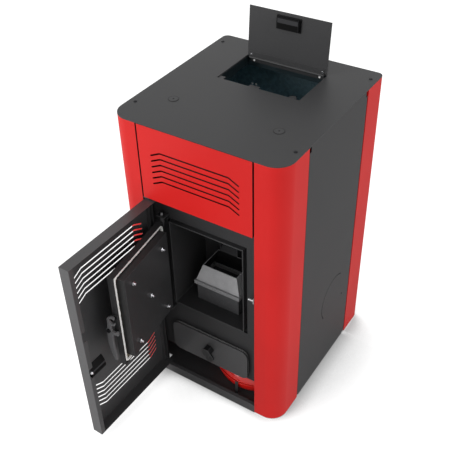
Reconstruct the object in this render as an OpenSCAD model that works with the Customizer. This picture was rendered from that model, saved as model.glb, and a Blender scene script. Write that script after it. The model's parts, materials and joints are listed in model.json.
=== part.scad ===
// Pellet boiler with an internal hopper, shown with its two doors and its hopper lid open.
// Origin: centre of the base on the floor. The front faces -Y and +Z is up.
// Door pieces are drawn in their closed place and then swung open about their hinge.

/* [Casing] */
// Width of the casing
body_w = 600; // [580:5:660]
// Depth of the casing
body_d = 640; // [620:5:700]
// Height from the floor to the top face
body_h = 1070; // [1060:5:1120]
// Thickness of the casing sheet
sheet_t = 2; // [1.5:0.5:3]
// Thickness of the top plate
top_t = 3; // [2:0.5:5]
// Radius of the front corners
corner_r = 60; // [30:5:75]
// Radius of the rear corners
rear_r = 20; // [12:2:30]
// Width of the recess between the front columns
recess_w = 408; // [404:2:420]
// Depth of the recess from the front face to the front plate
recess_d = 46; // [46:1:60]
// Depth of the side face of a front column
column_side = 138; // [120:2:160]
// Depth of the side face of a rear strip
strip_side = 116; // [90:2:130]
// Width of the rear strip's back face
strip_back = 42; // [30:2:60]
// Gap between neighbouring panels
panel_gap = 4; // [3:0.5:6]
// Depth of the folded edges of the panels
fold_d = 18; // [12:1:24]
// Height of the side panels' lower edge
side_low = 12; // [8:1:30]
// Thickness of the base tray's floor
base_t = 3; // [2:0.5:5]
// Height of the base tray's front lip
lip_h = 36; // [25:1:45]
// Radius of the side knock-out
knock_r = 88; // [60:2:100]
// Width of the knock-out's slit
knock_slit = 3; // [2:0.5:5]
// Radius of the blanking discs in the top plate
disc_r = 17; // [12:1:25]

/* [Ventilation slots] */
// Number of slots in a group
slot_count = 6; // [3:1:6]
// Vertical pitch of the slots
slot_pitch = 20.4; // [16:0.2:22]
// Width of a slot
slot_w = 5.4; // [4:0.2:7]
// Half length of a slot's level run
slot_run = 120; // [90:5:130]
// Sideways length of a slot's slanted end
slot_leg = 33; // [20:1:40]
// Drop of a slot's slanted end
slot_drop = 16.5; // [8:0.5:20]

/* [Upper front panel] */
// Height of the upper front panel's lower edge
upper_low = 802; // [795:1:806]
// Height of its highest slot
upper_slot_top = 987; // [960:1:1000]
// Gap between the panel and the front columns
upper_gap = 5.5; // [4:0.5:6]

/* [Outer door] */
// Width of the outer door
door_w = 398; // [390:1:398]
// Height of the outer door's lower edge
door_low = 50; // [46:1:56]
// Height of the outer door
door_h = 746; // [741:1:746]
// Depth of the door's folded edges
door_fold = 38; // [30:1:40]
// Thickness of the door's sheet
door_t = 1.2; // [1:0.1:2]
// Angle of the open outer door
door_open = 91.4; // [85:0.1:95]
// Distance of the pivot from the door's left edge
pivot_in = 8; // [7:0.5:10]
// Distance of the pivot behind the front face
pivot_back = 5.5; // [5.5:0.5:7]
// Radius of the outer door's pivot pins
pivot_r = 2.5; // [2:0.5:3]
// Height of the highest slot of the upper group
door_slot_top = 733; // [720:1:745]
// Height of the lowest slot of the lower group
door_slot_low = 119; // [100:1:140]

/* [Firebox and fire door] */
// Outside width of the firebox throat
throat_w = 282; // [270:2:290]
// Outside height of the firebox throat
throat_h = 360; // [340:2:370]
// Height of the throat's lower outside face
throat_low = 341; // [335:1:350]
// Thickness of the firebox plate
fire_t = 4; // [3:0.5:6]
// Distance of the throat's front edge behind the front face
throat_in = 38; // [36:0.5:40]
// Depth of the firebox
firebox_d = 196; // [160:2:210]
// Width of the groove round the throat
groove = 9; // [9:1:12]
// Width of the fire door
fire_door_w = 296; // [292:1:300]
// Height of the fire door
fire_door_h = 376; // [370:2:380]
// Height of the fire door's lower edge
fire_door_low = 332; // [328:1:336]
// Angle of the open fire door
fire_open = 83.2; // [75:0.1:90]
// Distance of the fire door's hinge axis beyond the door's edge
hinge_side = 9.6; // [8.4:0.2:12]
// Radius of the fire door's hinge pins
hinge_r = 4; // [3:0.5:5]
// Depth of the fire door's tray
fire_tray_d = 21; // [19:1:22]
// Thickness of the fire door's steel
fire_door_t = 3; // [2:0.5:4]
// Radius of the rope gaskets of the fire door
rope_r = 5; // [4:0.5:5.5]
// Margin of the baffle inside the fire door's side edges
baffle_side = 22.5; // [20:0.5:28]
// Margin of the baffle inside the fire door's upper and lower edges
baffle_end = 23.5; // [22:0.5:33]
// Depth of the baffle in front of the rope's seat
baffle_d = 30; // [20:1:34]
// Sideways distance between the baffle's outer studs
stud_dx = 174; // [150:2:180]
// Vertical distance between the baffle's outer studs
stud_dz = 251; // [230:2:260]
// Radius of the baffle's studs
stud_r = 4; // [3:0.5:5]

/* [Latch] */
// Height of the latch lever's pivot
lever_z = 506; // [500:1:512]
// Thickness of the latch lever
lever_t = 7.4; // [6:0.2:8]
// Radius of the lever's hub
lever_hub_r = 10; // [9:0.5:10]
// Width of the lever's grip
grip_w = 19; // [15:1:20]
// Length of the lever's grip below its pivot
grip_len = 131; // [110:1:132]
// Radius of the lever's pivot screw
lever_pin_r = 4; // [3:0.5:5]
// Radius of the catch pin
catch_r = 4; // [3:0.5:4]

/* [Burner] */
// Width of the burner pot
pot_w = 168; // [150:2:180]
// Depth of the burner pot
pot_d = 110; // [90:2:116]
// Height of the burner pot with its rim
pot_h = 86; // [70:2:96]
// Wall of the burner pot
pot_t = 5; // [4:0.5:6]
// Height of the pot's rim
rim_h = 15; // [10:1:18]
// Width by which the rim stands out
rim_out = 7; // [4:1:9]
// Height of the hood over the pot
hood_h = 61; // [50:1:70]
// Sideways slope of the hood's ends
hood_side = 19; // [12:1:24]
// Backward slope of the hood's front
hood_front = 17; // [10:1:24]
// Thickness of the hood
hood_t = 3; // [2:0.5:4]

/* [Ash drawer] */
// Width of the ash drawer's front
ash_w = 314; // [308:2:314]
// Height of the ash drawer's front
ash_h = 132; // [128:2:136]
// Height of the front's lower edge
ash_low = 115; // [112:1:116]
// Radius of the front's corners
ash_r = 25; // [20:1:30]
// Thickness of the ash drawer's front
ash_t = 6; // [4:0.5:8]
// Radius of the drawer's rope gasket
ash_rope_r = 4.7; // [4:0.1:5]
// Margin of the rope inside the front's edge
ash_rope_in = 6; // [5:0.5:7]
// Margin of the ash opening inside the front's edge
ash_opening_in = 14; // [14:0.5:18]
// Depth of the ash pan
ash_pan_d = 208; // [180:2:215]
// Width across the turn handle's hub
turn_hub_w = 34; // [26:1:36]
// Length of the turn handle's tail below its axis
turn_tail = 65; // [55:1:68]

/* [Hopper and lid] */
// Width of the hopper mouth
mouth_w = 298; // [280:2:310]
// Depth of the hopper mouth
mouth_d = 190; // [186:2:200]
// Distance of the mouth's front edge behind the middle
mouth_y = 34; // [28:1:40]
// Gap between the lid and the mouth's edge
lid_gap = 2; // [1.5:0.5:3]
// Length of the lid from its rear edge to its free edge
lid_len = 168; // [150:1:168]
// Thickness of the lid
lid_t = 2.7; // [2:0.1:2.7]
// Angle by which the open lid has turned from closed
lid_open = 94.7; // [80:0.1:110]
// Width of the hopper bin
bin_w = 480; // [400:10:500]
// Depth of the hopper bin
bin_d = 330; // [300:5:330]
// Thickness of the hopper sheet
hopper_t = 2; // [1.5:0.5:2.5]

/* [Auger] */
// Height of the auger's axis
auger_z = 620; // [612:1:630]
// Inside radius of the auger tube
auger_in_r = 28; // [24:1:30]
// Wall of the auger tube
auger_wall = 3; // [2:0.5:4]
// Radius of the auger shaft
auger_shaft_r = 9; // [7:0.5:11]
// Radius of the auger flight
flight_r = 26.5; // [20:0.5:27]
// Pitch of the auger flight
flight_pitch = 45; // [35:5:55]
// Thickness of the auger flight
flight_t = 3; // [2:0.5:4]

/* [Flue fan] */
// Radius of the flue spigot
flue_r = 40; // [35:1:50]
// Wall of the flue spigot
flue_wall = 1.5; // [1:0.5:3]
// Length of the flue spigot behind the back panel
flue_out = 40; // [25:5:60]
// Radius of the fan housing
fan_r = 80; // [70:2:85]
// Width of the fan housing
fan_w = 60; // [50:2:66]
// Radius of the fan wheel
wheel_r = 60; // [45:1:64]
// Number of blades on the fan wheel
blade_count = 8; // [6:1:12]

/* [Water side] */
// Radius of the expansion vessel's body
vessel_r = 158; // [120:2:160]
// Height of the expansion vessel
vessel_h = 92; // [80:1:94]
// Radius of the water pipes
pipe_r = 13; // [10:0.5:16]
// Wall of the water pipes
pipe_wall = 2; // [1.5:0.5:3]
// Length of the pipe ends behind the back panel
pipe_out = 30; // [20:5:50]

/* [Clearances] */
// Running clearance of pins and shafts in their bores
run_gap = 0.05; // [0.02:0.01:0.1]
// Clearance between a moving piece and its seat
seat_gap = 0.3; // [0.2:0.1:0.5]

/* [Hidden] */
$fn = 48;

// Colours
red = [0.80, 0.07, 0.06];
grey = [0.28, 0.28, 0.29];
dark = [0.14, 0.14, 0.15];
steel = [0.80, 0.80, 0.82];
cast = [0.35, 0.35, 0.36];
zinc = [0.55, 0.60, 0.62];
rope_white = [0.88, 0.86, 0.80];
black = [0.05, 0.05, 0.06];

// Places worked out from the sizes
half_w = body_w / 2;
front = -body_d / 2;
back = body_d / 2;
plate_low = body_h - top_t;
half_recess = recess_w / 2;
plate_y = front + recess_d;
plate_back = plate_y + sheet_t;
column_back = front + column_side;
strip_front = back - strip_side;

// Folds and lips of the casing
side_return = 20;
panel_set = 1;
side_out = half_w - panel_set;
side_in = side_out - sheet_t;
side_y0 = column_back + panel_gap;
side_y1 = strip_front - panel_gap;
back_out = back - sheet_t;
back_in = back_out - sheet_t;
back_half = half_w - strip_back - panel_gap;
tray_step = front + corner_r + 6;
lip_return = 14;
inner_lip = 40;
lip_end = 12;
notch_w = 10;
notch_h = 20;
knock_y = side_y1 - 130;
knock_z = 300;
knock_start = 54;
knock_sweep = 164;
knock_hole = [knock_y + 74, knock_z - 46];
knock_hole_r = 4;
cut = 1;

// Upper front panel and front plate
upper_half = half_recess - upper_gap;
upper_top = plate_low - 1;
front_foot = ash_low - 11;
throat_half = throat_w / 2;
throat_top = throat_low + throat_h;
ash_half = ash_w / 2;
ash_open_half = ash_half - ash_opening_in;
ash_open_low = ash_low + ash_opening_in;
ash_open_top = ash_low + ash_h - ash_opening_in;

// Screws and discs of the top plate
screw_x = half_w - 23;
screw_front = front + 98;
screw_back = back - 54;
screw_r = 2.5;
screw_head_r = 6;
screw_head_t = 2.4;
screw_len = 12;
disc_x = half_w - 115;
disc_y = front + 169;
disc_lip = 2;
disc_t = 1;
disc_hole_r = 1.5;

// Outer door, closed
door_left = -door_w / 2;
door_right = door_w / 2;
door_top = door_low + door_h;
tray_in = front + door_t;
door_back = front + door_fold;
pivot_x = door_left + pivot_in;
pivot_y = front + pivot_back;
boss_r = pivot_back - 0.5;
boss_h = 20;
hem_w = 17;
hem_notches = [[lever_z - 3, lever_z + 37], [door_low + 285, door_low + 329]];
rib_in = 15;
rib_d = 16;
ear_t = 4;
ear_in = 24;
ear_front = tray_in;
ear_back = pivot_y + 14;

// Finger pull and ball catch of the outer door
pull_x0 = door_right - 93;
pull_x1 = door_right - 27;
pull_wall = 1.5;
pull_low = door_low + 253;
pull_bend = pull_low + 10;
pull_mid = pull_low + 29;
pull_high = pull_mid + 18.5;
pull_foot = tray_in + 14.5;
pull_back = tray_in + 16;
pull_neck = tray_in + 12;
pull_slope = (pull_high - pull_mid) / (pull_neck - tray_in);
pull_drop = 2.8;
ball_x = door_right - 9;
ball_z = door_low + 312;
ball_r = 6;
ball_y = plate_y - seat_gap - ball_r;
ball_stem_r = 4;
ball_foot_r = 7.5;

// Firebox and fire door, closed
throat_y = front + throat_in;
hinge_y = throat_y - seat_gap - 2 * rope_r;
fire_half = fire_door_w / 2;
hinge_x = fire_half + hinge_side;
baffle_w = fire_door_w - 2 * baffle_side;
baffle_h = fire_door_h - 2 * baffle_end;
fire_top = fire_door_low + fire_door_h;
fire_mid = fire_door_low + fire_door_h / 2;
rim_over = 9;
fire_out = hinge_y + rim_over - fire_tray_d;
board_front = fire_out + fire_door_t;
rope_play = 0.5;
rope_x = fire_half - fire_door_t - rope_play - rope_r;
rope_z = fire_door_h / 2 - fire_door_t - rope_play - rope_r;
rope_y = hinge_y + rope_r;
rope_corner = 14;
baffle_z = fire_mid + 5;
baffle_t = 2;
baffle_face = hinge_y + baffle_d;
stud_out = 14;
nut_r = 7.5;
nut_t = 6.5;
knuckle_r = 8;
knuckle_h = 32;
knuckle_rise = 14;
knuckle_gap = 6;
fire_ear_t = 5;
fire_ear_x0 = hinge_x + 14.4;
fire_ear_x1 = fire_half - 5;
fire_ear_front = hinge_y - 10;
pin_head = 9;
upper_knuckle = fire_top + knuckle_rise - knuckle_h;
lower_knuckle = fire_door_low - knuckle_rise + knuckle_gap;
upper_ear = upper_knuckle + knuckle_h + seat_gap;
lower_ear = lower_knuckle - seat_gap - fire_ear_t;
firebox_back = throat_y + firebox_d;
chute_x = 35;
chute_low = auger_z - 32;
chute_top = auger_z + 32;
gas_x = throat_half - 31;
gas_low = chute_top + 3;
gas_high = gas_low + 35;
ash_hole_x = 70;
ash_hole_y0 = throat_y + 72;
ash_hole_y1 = ash_hole_y0 + 80;

// Latch on the fire door's free side
latch_t = 4;
latch_x = fire_half + latch_t;
latch_low = lever_z - 26;
latch_top = lever_z + 52;
latch_y0 = hinge_y - 10.7;
latch_y1 = hinge_y + 8.3;
latch_r = 4;
lever_y = tray_in + 0.5 + lever_hub_r;
latch_boss_r = 8;
latch_boss_x = latch_x + 14;
lever_x0 = latch_boss_x + seat_gap;
lever_x1 = lever_x0 + lever_t;
pin_end = lever_x1 + seat_gap;
pin_head_r = 7;
pin_head_t = 4;
latch_screw_z = [latch_low + 11, latch_top - 11];
latch_screw_r = 2.5;
latch_head_r = 4.5;
latch_head_t = 4;
hook_low = lever_z - 13;
hook_top = lever_z - 2;
hook_y0 = hinge_y + 10.8;
hook_y1 = hinge_y + 16.3;
finger_top = lever_z + 2.5;
catch_z = finger_top + 0.5 + catch_r;
catch_y = hinge_y + 5.3;
catch_x0 = lever_x0 - 3.3;
catch_x1 = lever_x1 + 12.3;
catch_plate_t = 4;
grip_r = 254;
grip_y = lever_y - lever_hub_r + grip_r;
grip_z = lever_z - 45;
grip_inner_r = 320;
grip_inner_y = lever_y - lever_hub_r + grip_w + grip_inner_r;
grip_inner_z = lever_z - 60;
grip_edge = lever_y + 13;
horn_r = 18;
horn_hole = 11;
horn_y = lever_y + 15.5;
horn_z = lever_z + 45;
horn_edge = horn_y + 8.5;
catch_low = catch_z - 8;
catch_top = catch_z + 13;

// Water jacket round the firebox
jacket_t = 3;
jacket_x = throat_half + 39;
jacket_front = plate_back + 10;
jacket_back = firebox_back + 46;
jacket_low = throat_low - 51;
jacket_top = throat_top + 69;
gas_foot = jacket_low + 43;
smoke_hole = [-80, 50, gas_foot + 7, gas_foot + 87];

// Stand and ash box
stand_t = 3;
box_floor = ash_open_low;
bar_t = 8;
bar_top = box_floor - stand_t - 18;
bar_w = 40;
bar_x = side_in - 7;
bar_y = [jacket_front + 4, jacket_back + 55];
rail_w = 12;
leg_x = bar_x - 18;
leg_w = 30;

// Burner
pot_half = pot_w / 2;
pot_y = throat_y + 112;
pot_floor = throat_low + fire_t;
pot_top = pot_floor + pot_h;
pot_hole_r = 4;
pot_hole_nx = 7;
pot_hole_ny = 4;
hood_low = pot_half + 3;
hood_back = pot_y + pot_d / 2 + 3;
hood_front_y = pot_y - pot_d / 2;
igniter_r = 6;
igniter_z = pot_floor + 30;
igniter_x = pot_half - 39;
chute_t = 2.5;
chute_reach = 60;

// Ash drawer
ash_back = plate_y - seat_gap - 2 * ash_rope_r;
ash_front_y = ash_back - ash_t;
ash_rope_x = ash_half - ash_rope_in;
ash_rope_z = ash_h / 2 - ash_rope_in;
ash_mid = ash_low + ash_h / 2;
ash_rope_corner = 19;
pan_t = 2;
pan_x = ash_open_half - 5;
pan_y0 = plate_back + 14;
pan_low = box_floor + seat_gap;
pan_top = ash_open_top - 7;
pan_arm_t = 5;
turn_z = ash_mid + 7;
turn_shaft_r = 5;
turn_y = ash_front_y - seat_gap;
turn_hub_t = 25;
turn_tail_t = 6;
turn_neck = 5;
turn_end = 17;
turn_foot = 8;
bar_arm = 62;
bar_arm_w = 12;
bar_arm_t = 4;
bar_arm_y = plate_back + 4;

// Hopper, frame and lid
mouth_half = mouth_w / 2;
mouth_back = mouth_y + mouth_d;
frame_t = 3;
frame_low = plate_low - frame_t;
frame_side = 16;
lug_reach = 21;
bin_low = 850;
bin_top = frame_low - 29;
bin_y1 = back_in - 16;
bin_y0 = bin_y1 - bin_d;
outlet_x = 27;
outlet_y0 = bin_y0 + 125;
outlet_y1 = outlet_y0 + 70;
outlet_z = auger_z + 40;
lid_half = mouth_half - lid_gap;
lid_low = plate_low + seat_gap;
lid_top = lid_low + lid_t;
axis_y = mouth_back - 5.5;
axis_z = plate_low - 1;
lid_y1 = axis_y - 6;
lid_y0 = lid_y1 - lid_len;
leaf_half = mouth_half - 11;
leaf_t = 2;
lid_knuckle_r = 4.5;
lid_pin_r = 2;
knuckle_len = leaf_half * 2 / 5;
strip_t = 3;
strip_drop = 16;
strip_low = axis_z - strip_drop;
strip_y = mouth_back - strip_t;
strip_screw_x = leaf_half - 16;
strip_screw_z = axis_z - 9;
lid_screw_x = leaf_half - 6;
lid_screw_y = lid_y1 - 5;
leaf_w = 10;
lid_pull_w = 88;
lid_pull_h = 46;
lid_pull_in = 10;
lid_pull_d = 12;

// Auger and its gear motor
tube_r = auger_in_r + auger_wall;
tube_y0 = jacket_back + 4;
tube_y1 = outlet_y1 + 60;
motor_plate = 3;
gear_half = 45;
gear_d = 34;
auger_motor_r = 30;
auger_motor_l = 40;
auger_end = tube_y1 + 25;
flight_y0 = tube_y0 + 4;
flight_turns = floor((tube_y1 - flight_y0) / flight_pitch);
flight_y1 = flight_y0 + flight_turns * flight_pitch;

// Flue fan
fan_x0 = -150;
fan_x1 = fan_x0 + fan_w;
fan_y = jacket_back + 100;
fan_z = jacket_low + 90;
fan_t = 2;
flue_x = (fan_x0 + fan_x1) / 2;
flue_z = fan_z - fan_r + 30;
duct_half = 30;
duct_end = back_in - 116;
fan_shaft_r = 4;
fan_motor_r = 38;
fan_motor_l = 55;

// Water side
vessel_rim = 5;
vessel_x = side_in - 29 - vessel_rim - vessel_r;
vessel_y = door_back + 8.5 + vessel_r;
vessel_top = base_t + vessel_h;
vessel_corner = vessel_h / 2 - 2;
vessel_rim_z = base_t + 51;
vessel_rim_h = 8;
vessel_wall = 2;
vessel_port = 6;
hook_w = 12;
hook_t = 2.5;
pipe_x = jacket_x - 30;
flow_z = jacket_top - 40;
return_z = jacket_low + 40;
pump_y = jacket_back + 160;
pump_half = 50;
pump_body = 25;
pump_motor = 100;
valve_y = jacket_back - 60;
box_x = 120;
box_low = upper_low + 48;
box_high = plate_low - 67;
box_d = 72;
box_wall = 2;
inlet_x = back_half - 54;
inlet_z = plate_low - 167;
inlet_w = 48;
inlet_h = 28;

// Rectangle between two corners
module rect(x0, x1, y0, y1) {
    translate([x0, y0]) square([x1 - x0, y1 - y0]);
}

// Rectangle with rounded corners
module round_rect(x0, x1, y0, y1, r) {
    rect(x0 + r, x1 - r, y0, y1);
    rect(x0, x1, y0 + r, y1 - r);
    for (x = [x0 + r, x1 - r], y = [y0 + r, y1 - r]) translate([x, y]) circle(r);
}

// Block between two corners
module box(x0, x1, y0, y1, z0, z1) {
    translate([x0, y0, z0]) cube([x1 - x0, y1 - y0, z1 - z0]);
}

// The same shape on both sides
module both() {
    children();
    mirror([1, 0, 0]) children();
}

// Outline drawn in Y and Z, carried along X
module carry_x(x0, x1) {
    translate([x0, 0, 0]) rotate([90, 0, 90]) linear_extrude(x1 - x0) children();
}

// Outline drawn in X and Z, carried along Y
module carry_y(y0, y1) {
    translate([0, y1, 0]) rotate([90, 0, 0]) linear_extrude(y1 - y0) children();
}

// Outline drawn in X and Y, carried up
module carry_z(z0, z1) {
    translate([0, 0, z0]) linear_extrude(z1 - z0) children();
}

// Round rods along X, Y and Z
module rod_x(x0, x1, y, z, r) {
    translate([x0, y, z]) rotate([0, 90, 0]) cylinder(h = x1 - x0, r = r);
}
module rod_y(x, y0, y1, z, r) {
    translate([x, y1, z]) rotate([90, 0, 0]) cylinder(h = y1 - y0, r = r);
}
module rod_z(x, y, z0, z1, r) {
    translate([x, y, z0]) cylinder(h = z1 - z0, r = r);
}

// Slot with a level run and two slanted ends, slanting down or up
module bent_slot(z, tilt) {
    rect(-slot_run, slot_run, z - slot_w / 2, z + slot_w / 2);
    for (s = [0, 1]) mirror([s, 0]) translate([slot_run, z]) rotate(tilt * atan2(slot_drop, slot_leg)) {
        leg = norm([slot_leg, slot_drop]);
        circle(slot_w / 2, $fn = 16);
        rect(0, leg, -slot_w / 2, slot_w / 2);
        translate([leg, 0]) circle(slot_w / 2, $fn = 16);
    }
}

// Group of slots, counted up from the lowest
module slot_group(low, tilt) {
    for (i = [0 : slot_count - 1]) bent_slot(low + i * slot_pitch, tilt);
}

// Rope laid as a ring with round corners, in X and Z
module rope_ring(half_x, half_z, y, z, corner, r) {
    translate([0, y, z]) rotate([90, 0, 0]) {
        for (s = [-1, 1]) {
            translate([-half_x + corner, s * half_z, 0]) rotate([0, 90, 0])
                cylinder(h = 2 * (half_x - corner), r = r);
            translate([s * half_x, half_z - corner, 0]) rotate([90, 0, 0])
                cylinder(h = 2 * (half_z - corner), r = r);
        }
        for (a = [0 : 3]) {
            side_x = (a == 0 || a == 3) ? 1 : -1;
            side_z = a < 2 ? 1 : -1;
            translate([side_x * (half_x - corner), side_z * (half_z - corner), 0]) rotate(a * 90)
                rotate_extrude(angle = 90) translate([corner, 0]) circle(r);
        }
    }
}

// Places of the swung pieces
module at_outer_door() {
    translate([pivot_x, pivot_y, 0]) rotate(-door_open) translate([-pivot_x, -pivot_y, 0]) children();
}
module at_fire_door() {
    translate([-hinge_x, hinge_y, 0]) rotate(-fire_open) translate([hinge_x, -hinge_y, 0]) children();
}
module at_lid() {
    translate([0, axis_y, axis_z]) rotate([-lid_open, 0, 0]) translate([0, -axis_y, -axis_z]) children();
}

// Floor tray with its lips and the hook that holds the expansion vessel
module base_tray() {
    hook_y = vessel_y - vessel_r - vessel_rim - seat_gap;
    color(grey) {
        box(-side_in + sheet_t, side_in - sheet_t, tray_step, back_in - sheet_t, 0, base_t);
        box(-half_recess, half_recess, front, tray_step, 0, base_t);
        box(-half_recess, half_recess, front, front + sheet_t, 0, lip_h);
        box(-half_recess, half_recess, front, front + lip_return, lip_h - sheet_t, lip_h);
        both() box(side_in - sheet_t, side_in, side_y0 + lip_end, side_y1 - lip_end, 0, inner_lip);
        box(-back_half + lip_end, back_half - lip_end, back_in - sheet_t, back_in, 0, inner_lip);
        box(vessel_x - hook_w / 2, vessel_x + hook_w / 2, hook_y - hook_t, hook_y,
            0, vessel_rim_z + vessel_rim_h + hook_t);
    }
}

// Outline of a front column, open towards the inside
module column_outline() {
    translate([half_w - corner_r, front + corner_r]) intersection() {
        difference() {
            circle(corner_r, $fn = 96);
            circle(corner_r - sheet_t, $fn = 96);
        }
        rect(0, corner_r, -corner_r, 0);
    }
    rect(half_recess, half_w - corner_r, front, front + sheet_t);
    rect(half_recess, half_recess + sheet_t, front, plate_back);
    rect(half_w - sheet_t, half_w, front + corner_r, column_back);
    rect(half_w - side_return, half_w, column_back - sheet_t, column_back);
}
module front_column_left() {
    color(red) carry_z(base_t, plate_low) mirror([1, 0]) column_outline();
}
module front_column_right() {
    color(red) carry_z(base_t, plate_low) column_outline();
}

// Outline of a rear strip
module strip_outline() {
    translate([half_w - rear_r, back - rear_r]) intersection() {
        difference() {
            circle(rear_r);
            circle(rear_r - sheet_t);
        }
        rect(0, rear_r, 0, rear_r);
    }
    rect(half_w - strip_back, half_w - rear_r, back - sheet_t, back);
    rect(half_w - sheet_t, half_w, strip_front, back - rear_r);
    rect(half_w - side_return, half_w, strip_front, strip_front + sheet_t);
}
module rear_strip_left() {
    color(red) carry_z(base_t, plate_low) mirror([1, 0]) strip_outline();
}
module rear_strip_right() {
    color(red) carry_z(base_t, plate_low) strip_outline();
}

// Side panel with folded edges, drawn on the right
module side_panel() {
    difference() {
        union() {
            box(side_in, side_out, side_y0, side_y1, side_low, plate_low);
            for (y = [side_y0, side_y1 - sheet_t])
                box(side_in - fold_d, side_out, y, y + sheet_t, side_low, plate_low);
        }
        for (y = [side_y0 - cut, side_y1 - notch_w])
            box(side_in - fold_d - cut, side_out + cut, y, y + notch_w + cut,
                plate_low - notch_h, plate_low + cut);
    }
}
module side_panel_left() {
    color(grey) mirror([1, 0, 0]) side_panel();
}
module side_panel_right() {
    color(grey) difference() {
        side_panel();
        translate([side_in - cut, knock_y, knock_z]) rotate([90, 0, 90]) rotate(knock_start)
            rotate_extrude(angle = knock_sweep, $fn = 96) translate([knock_r - knock_slit / 2, 0])
                square([knock_slit, sheet_t + 2 * cut]);
        rod_x(side_in - cut, side_out + cut, knock_hole[0], knock_hole[1], knock_hole_r);
    }
}

// Back panel with the openings for the flue, the pipes and the mains inlet
module back_panel() {
    color(grey) difference() {
        union() {
            box(-back_half, back_half, back_in, back_out, side_low, plate_low);
            both() box(back_half - sheet_t, back_half, back_in - fold_d, back_out, side_low, plate_low);
        }
        rod_y(flue_x, back_in - cut, back_out + cut, flue_z, flue_r + 1);
        for (z = [flow_z, return_z]) rod_y(pipe_x, back_in - cut, back_out + cut, z, pipe_r + 1);
        box(inlet_x - inlet_w / 2, inlet_x + inlet_w / 2, back_in - cut, back_out + cut,
            inlet_z - inlet_h / 2, inlet_z + inlet_h / 2);
    }
}

// Upper front panel with its slots
module upper_front_panel() {
    color(red) difference() {
        union() {
            box(-upper_half, upper_half, front, front + sheet_t, upper_low, upper_top);
            box(-upper_half, upper_half, front, plate_y, upper_low, upper_low + sheet_t);
            both() box(upper_half - sheet_t, upper_half, front, plate_y, upper_low, upper_top);
        }
        carry_y(front - cut, front + sheet_t + cut)
            slot_group(upper_slot_top - (slot_count - 1) * slot_pitch, -1);
    }
}

// Plate behind the doors
module front_plate() {
    color(dark) difference() {
        box(-half_recess, half_recess, plate_y, plate_back, front_foot, plate_low);
        box(-throat_half - groove, throat_half + groove, plate_y - cut, plate_back + cut,
            throat_low - groove, throat_top + groove);
        box(-ash_open_half, ash_open_half, plate_y - cut, plate_back + cut, ash_open_low, ash_open_top);
    }
}

// Places of the top plate's screws
module at_plate_screws() {
    for (x = [-screw_x, screw_x], y = [screw_front, screw_back]) translate([x, y, 0]) children();
}

// Top plate with the hopper mouth
module top_plate() {
    color(grey) difference() {
        carry_z(plate_low, body_h) {
            rect(-half_w + corner_r, half_w - corner_r, front, front + corner_r);
            rect(-half_w, half_w, front + corner_r, back - rear_r);
            rect(-half_w + rear_r, half_w - rear_r, back - rear_r, back);
            for (x = [corner_r - half_w, half_w - corner_r])
                translate([x, front + corner_r]) circle(corner_r, $fn = 96);
            for (x = [rear_r - half_w, half_w - rear_r]) translate([x, back - rear_r]) circle(rear_r);
        }
        box(-mouth_half, mouth_half, mouth_y, mouth_back, plate_low - cut, body_h + cut);
        at_plate_screws() translate([0, 0, plate_low - cut]) cylinder(h = top_t + 2 * cut, r = screw_r);
        for (x = [-disc_x, disc_x]) rod_z(x, disc_y, plate_low - cut, body_h + cut, disc_r - disc_lip);
    }
}

// Screws of the top plate with a hexagon socket
module plate_screws() {
    color(dark) at_plate_screws() difference() {
        union() {
            translate([0, 0, body_h]) cylinder(h = screw_head_t, r = screw_head_r);
            translate([0, 0, body_h - screw_len]) cylinder(h = screw_len, r = screw_r);
        }
        translate([0, 0, body_h + screw_head_t / 3])
            cylinder(h = screw_head_t, r = screw_head_r / 2, $fn = 6);
    }
}

// Discs that close the spare openings of the top plate
module blanking_discs() {
    color(grey) for (x = [-disc_x, disc_x]) difference() {
        union() {
            rod_z(x, disc_y, body_h, body_h + disc_t, disc_r);
            rod_z(x, disc_y, plate_low, body_h, disc_r - disc_lip);
        }
        rod_z(x, disc_y, plate_low - cut, body_h + disc_t + cut, disc_hole_r);
    }
}

// Ears that carry the pins of both doors
module hinge_brackets() {
    color(dark) difference() {
        union() {
            for (z = [door_top + seat_gap, door_low - seat_gap - ear_t])
                box(-half_recess, -half_recess + ear_in, ear_front, ear_back, z, z + ear_t);
            for (z = [upper_ear, lower_ear])
                box(-fire_ear_x0, -fire_ear_x1, fire_ear_front, plate_y, z, z + fire_ear_t);
        }
        rod_z(pivot_x, pivot_y, 0, body_h, pivot_r);
        rod_z(-hinge_x, hinge_y, 0, body_h, hinge_r);
    }
}

// Hinge pins of both doors
module hinge_pins() {
    color(steel) {
        rod_z(pivot_x, pivot_y, door_top - boss_h, door_top + seat_gap + ear_t, pivot_r);
        rod_z(pivot_x, pivot_y, door_low - seat_gap - ear_t, door_low + boss_h, pivot_r);
        rod_z(-hinge_x, hinge_y, upper_knuckle, upper_ear + fire_ear_t + pin_head, hinge_r);
        rod_z(-hinge_x, hinge_y, lower_ear - pin_head / 2, lower_knuckle + knuckle_h, hinge_r);
    }
}

// Slots and pull opening, cut through the outer door's face
module door_cuts() {
    carry_y(front - cut, tray_in + cut) {
        slot_group(door_slot_top - (slot_count - 1) * slot_pitch, -1);
        slot_group(door_slot_low, 1);
        rect(pull_x0 + pull_wall, pull_x1 - pull_wall, pull_low + pull_wall, pull_high - pull_drop);
    }
}

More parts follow.
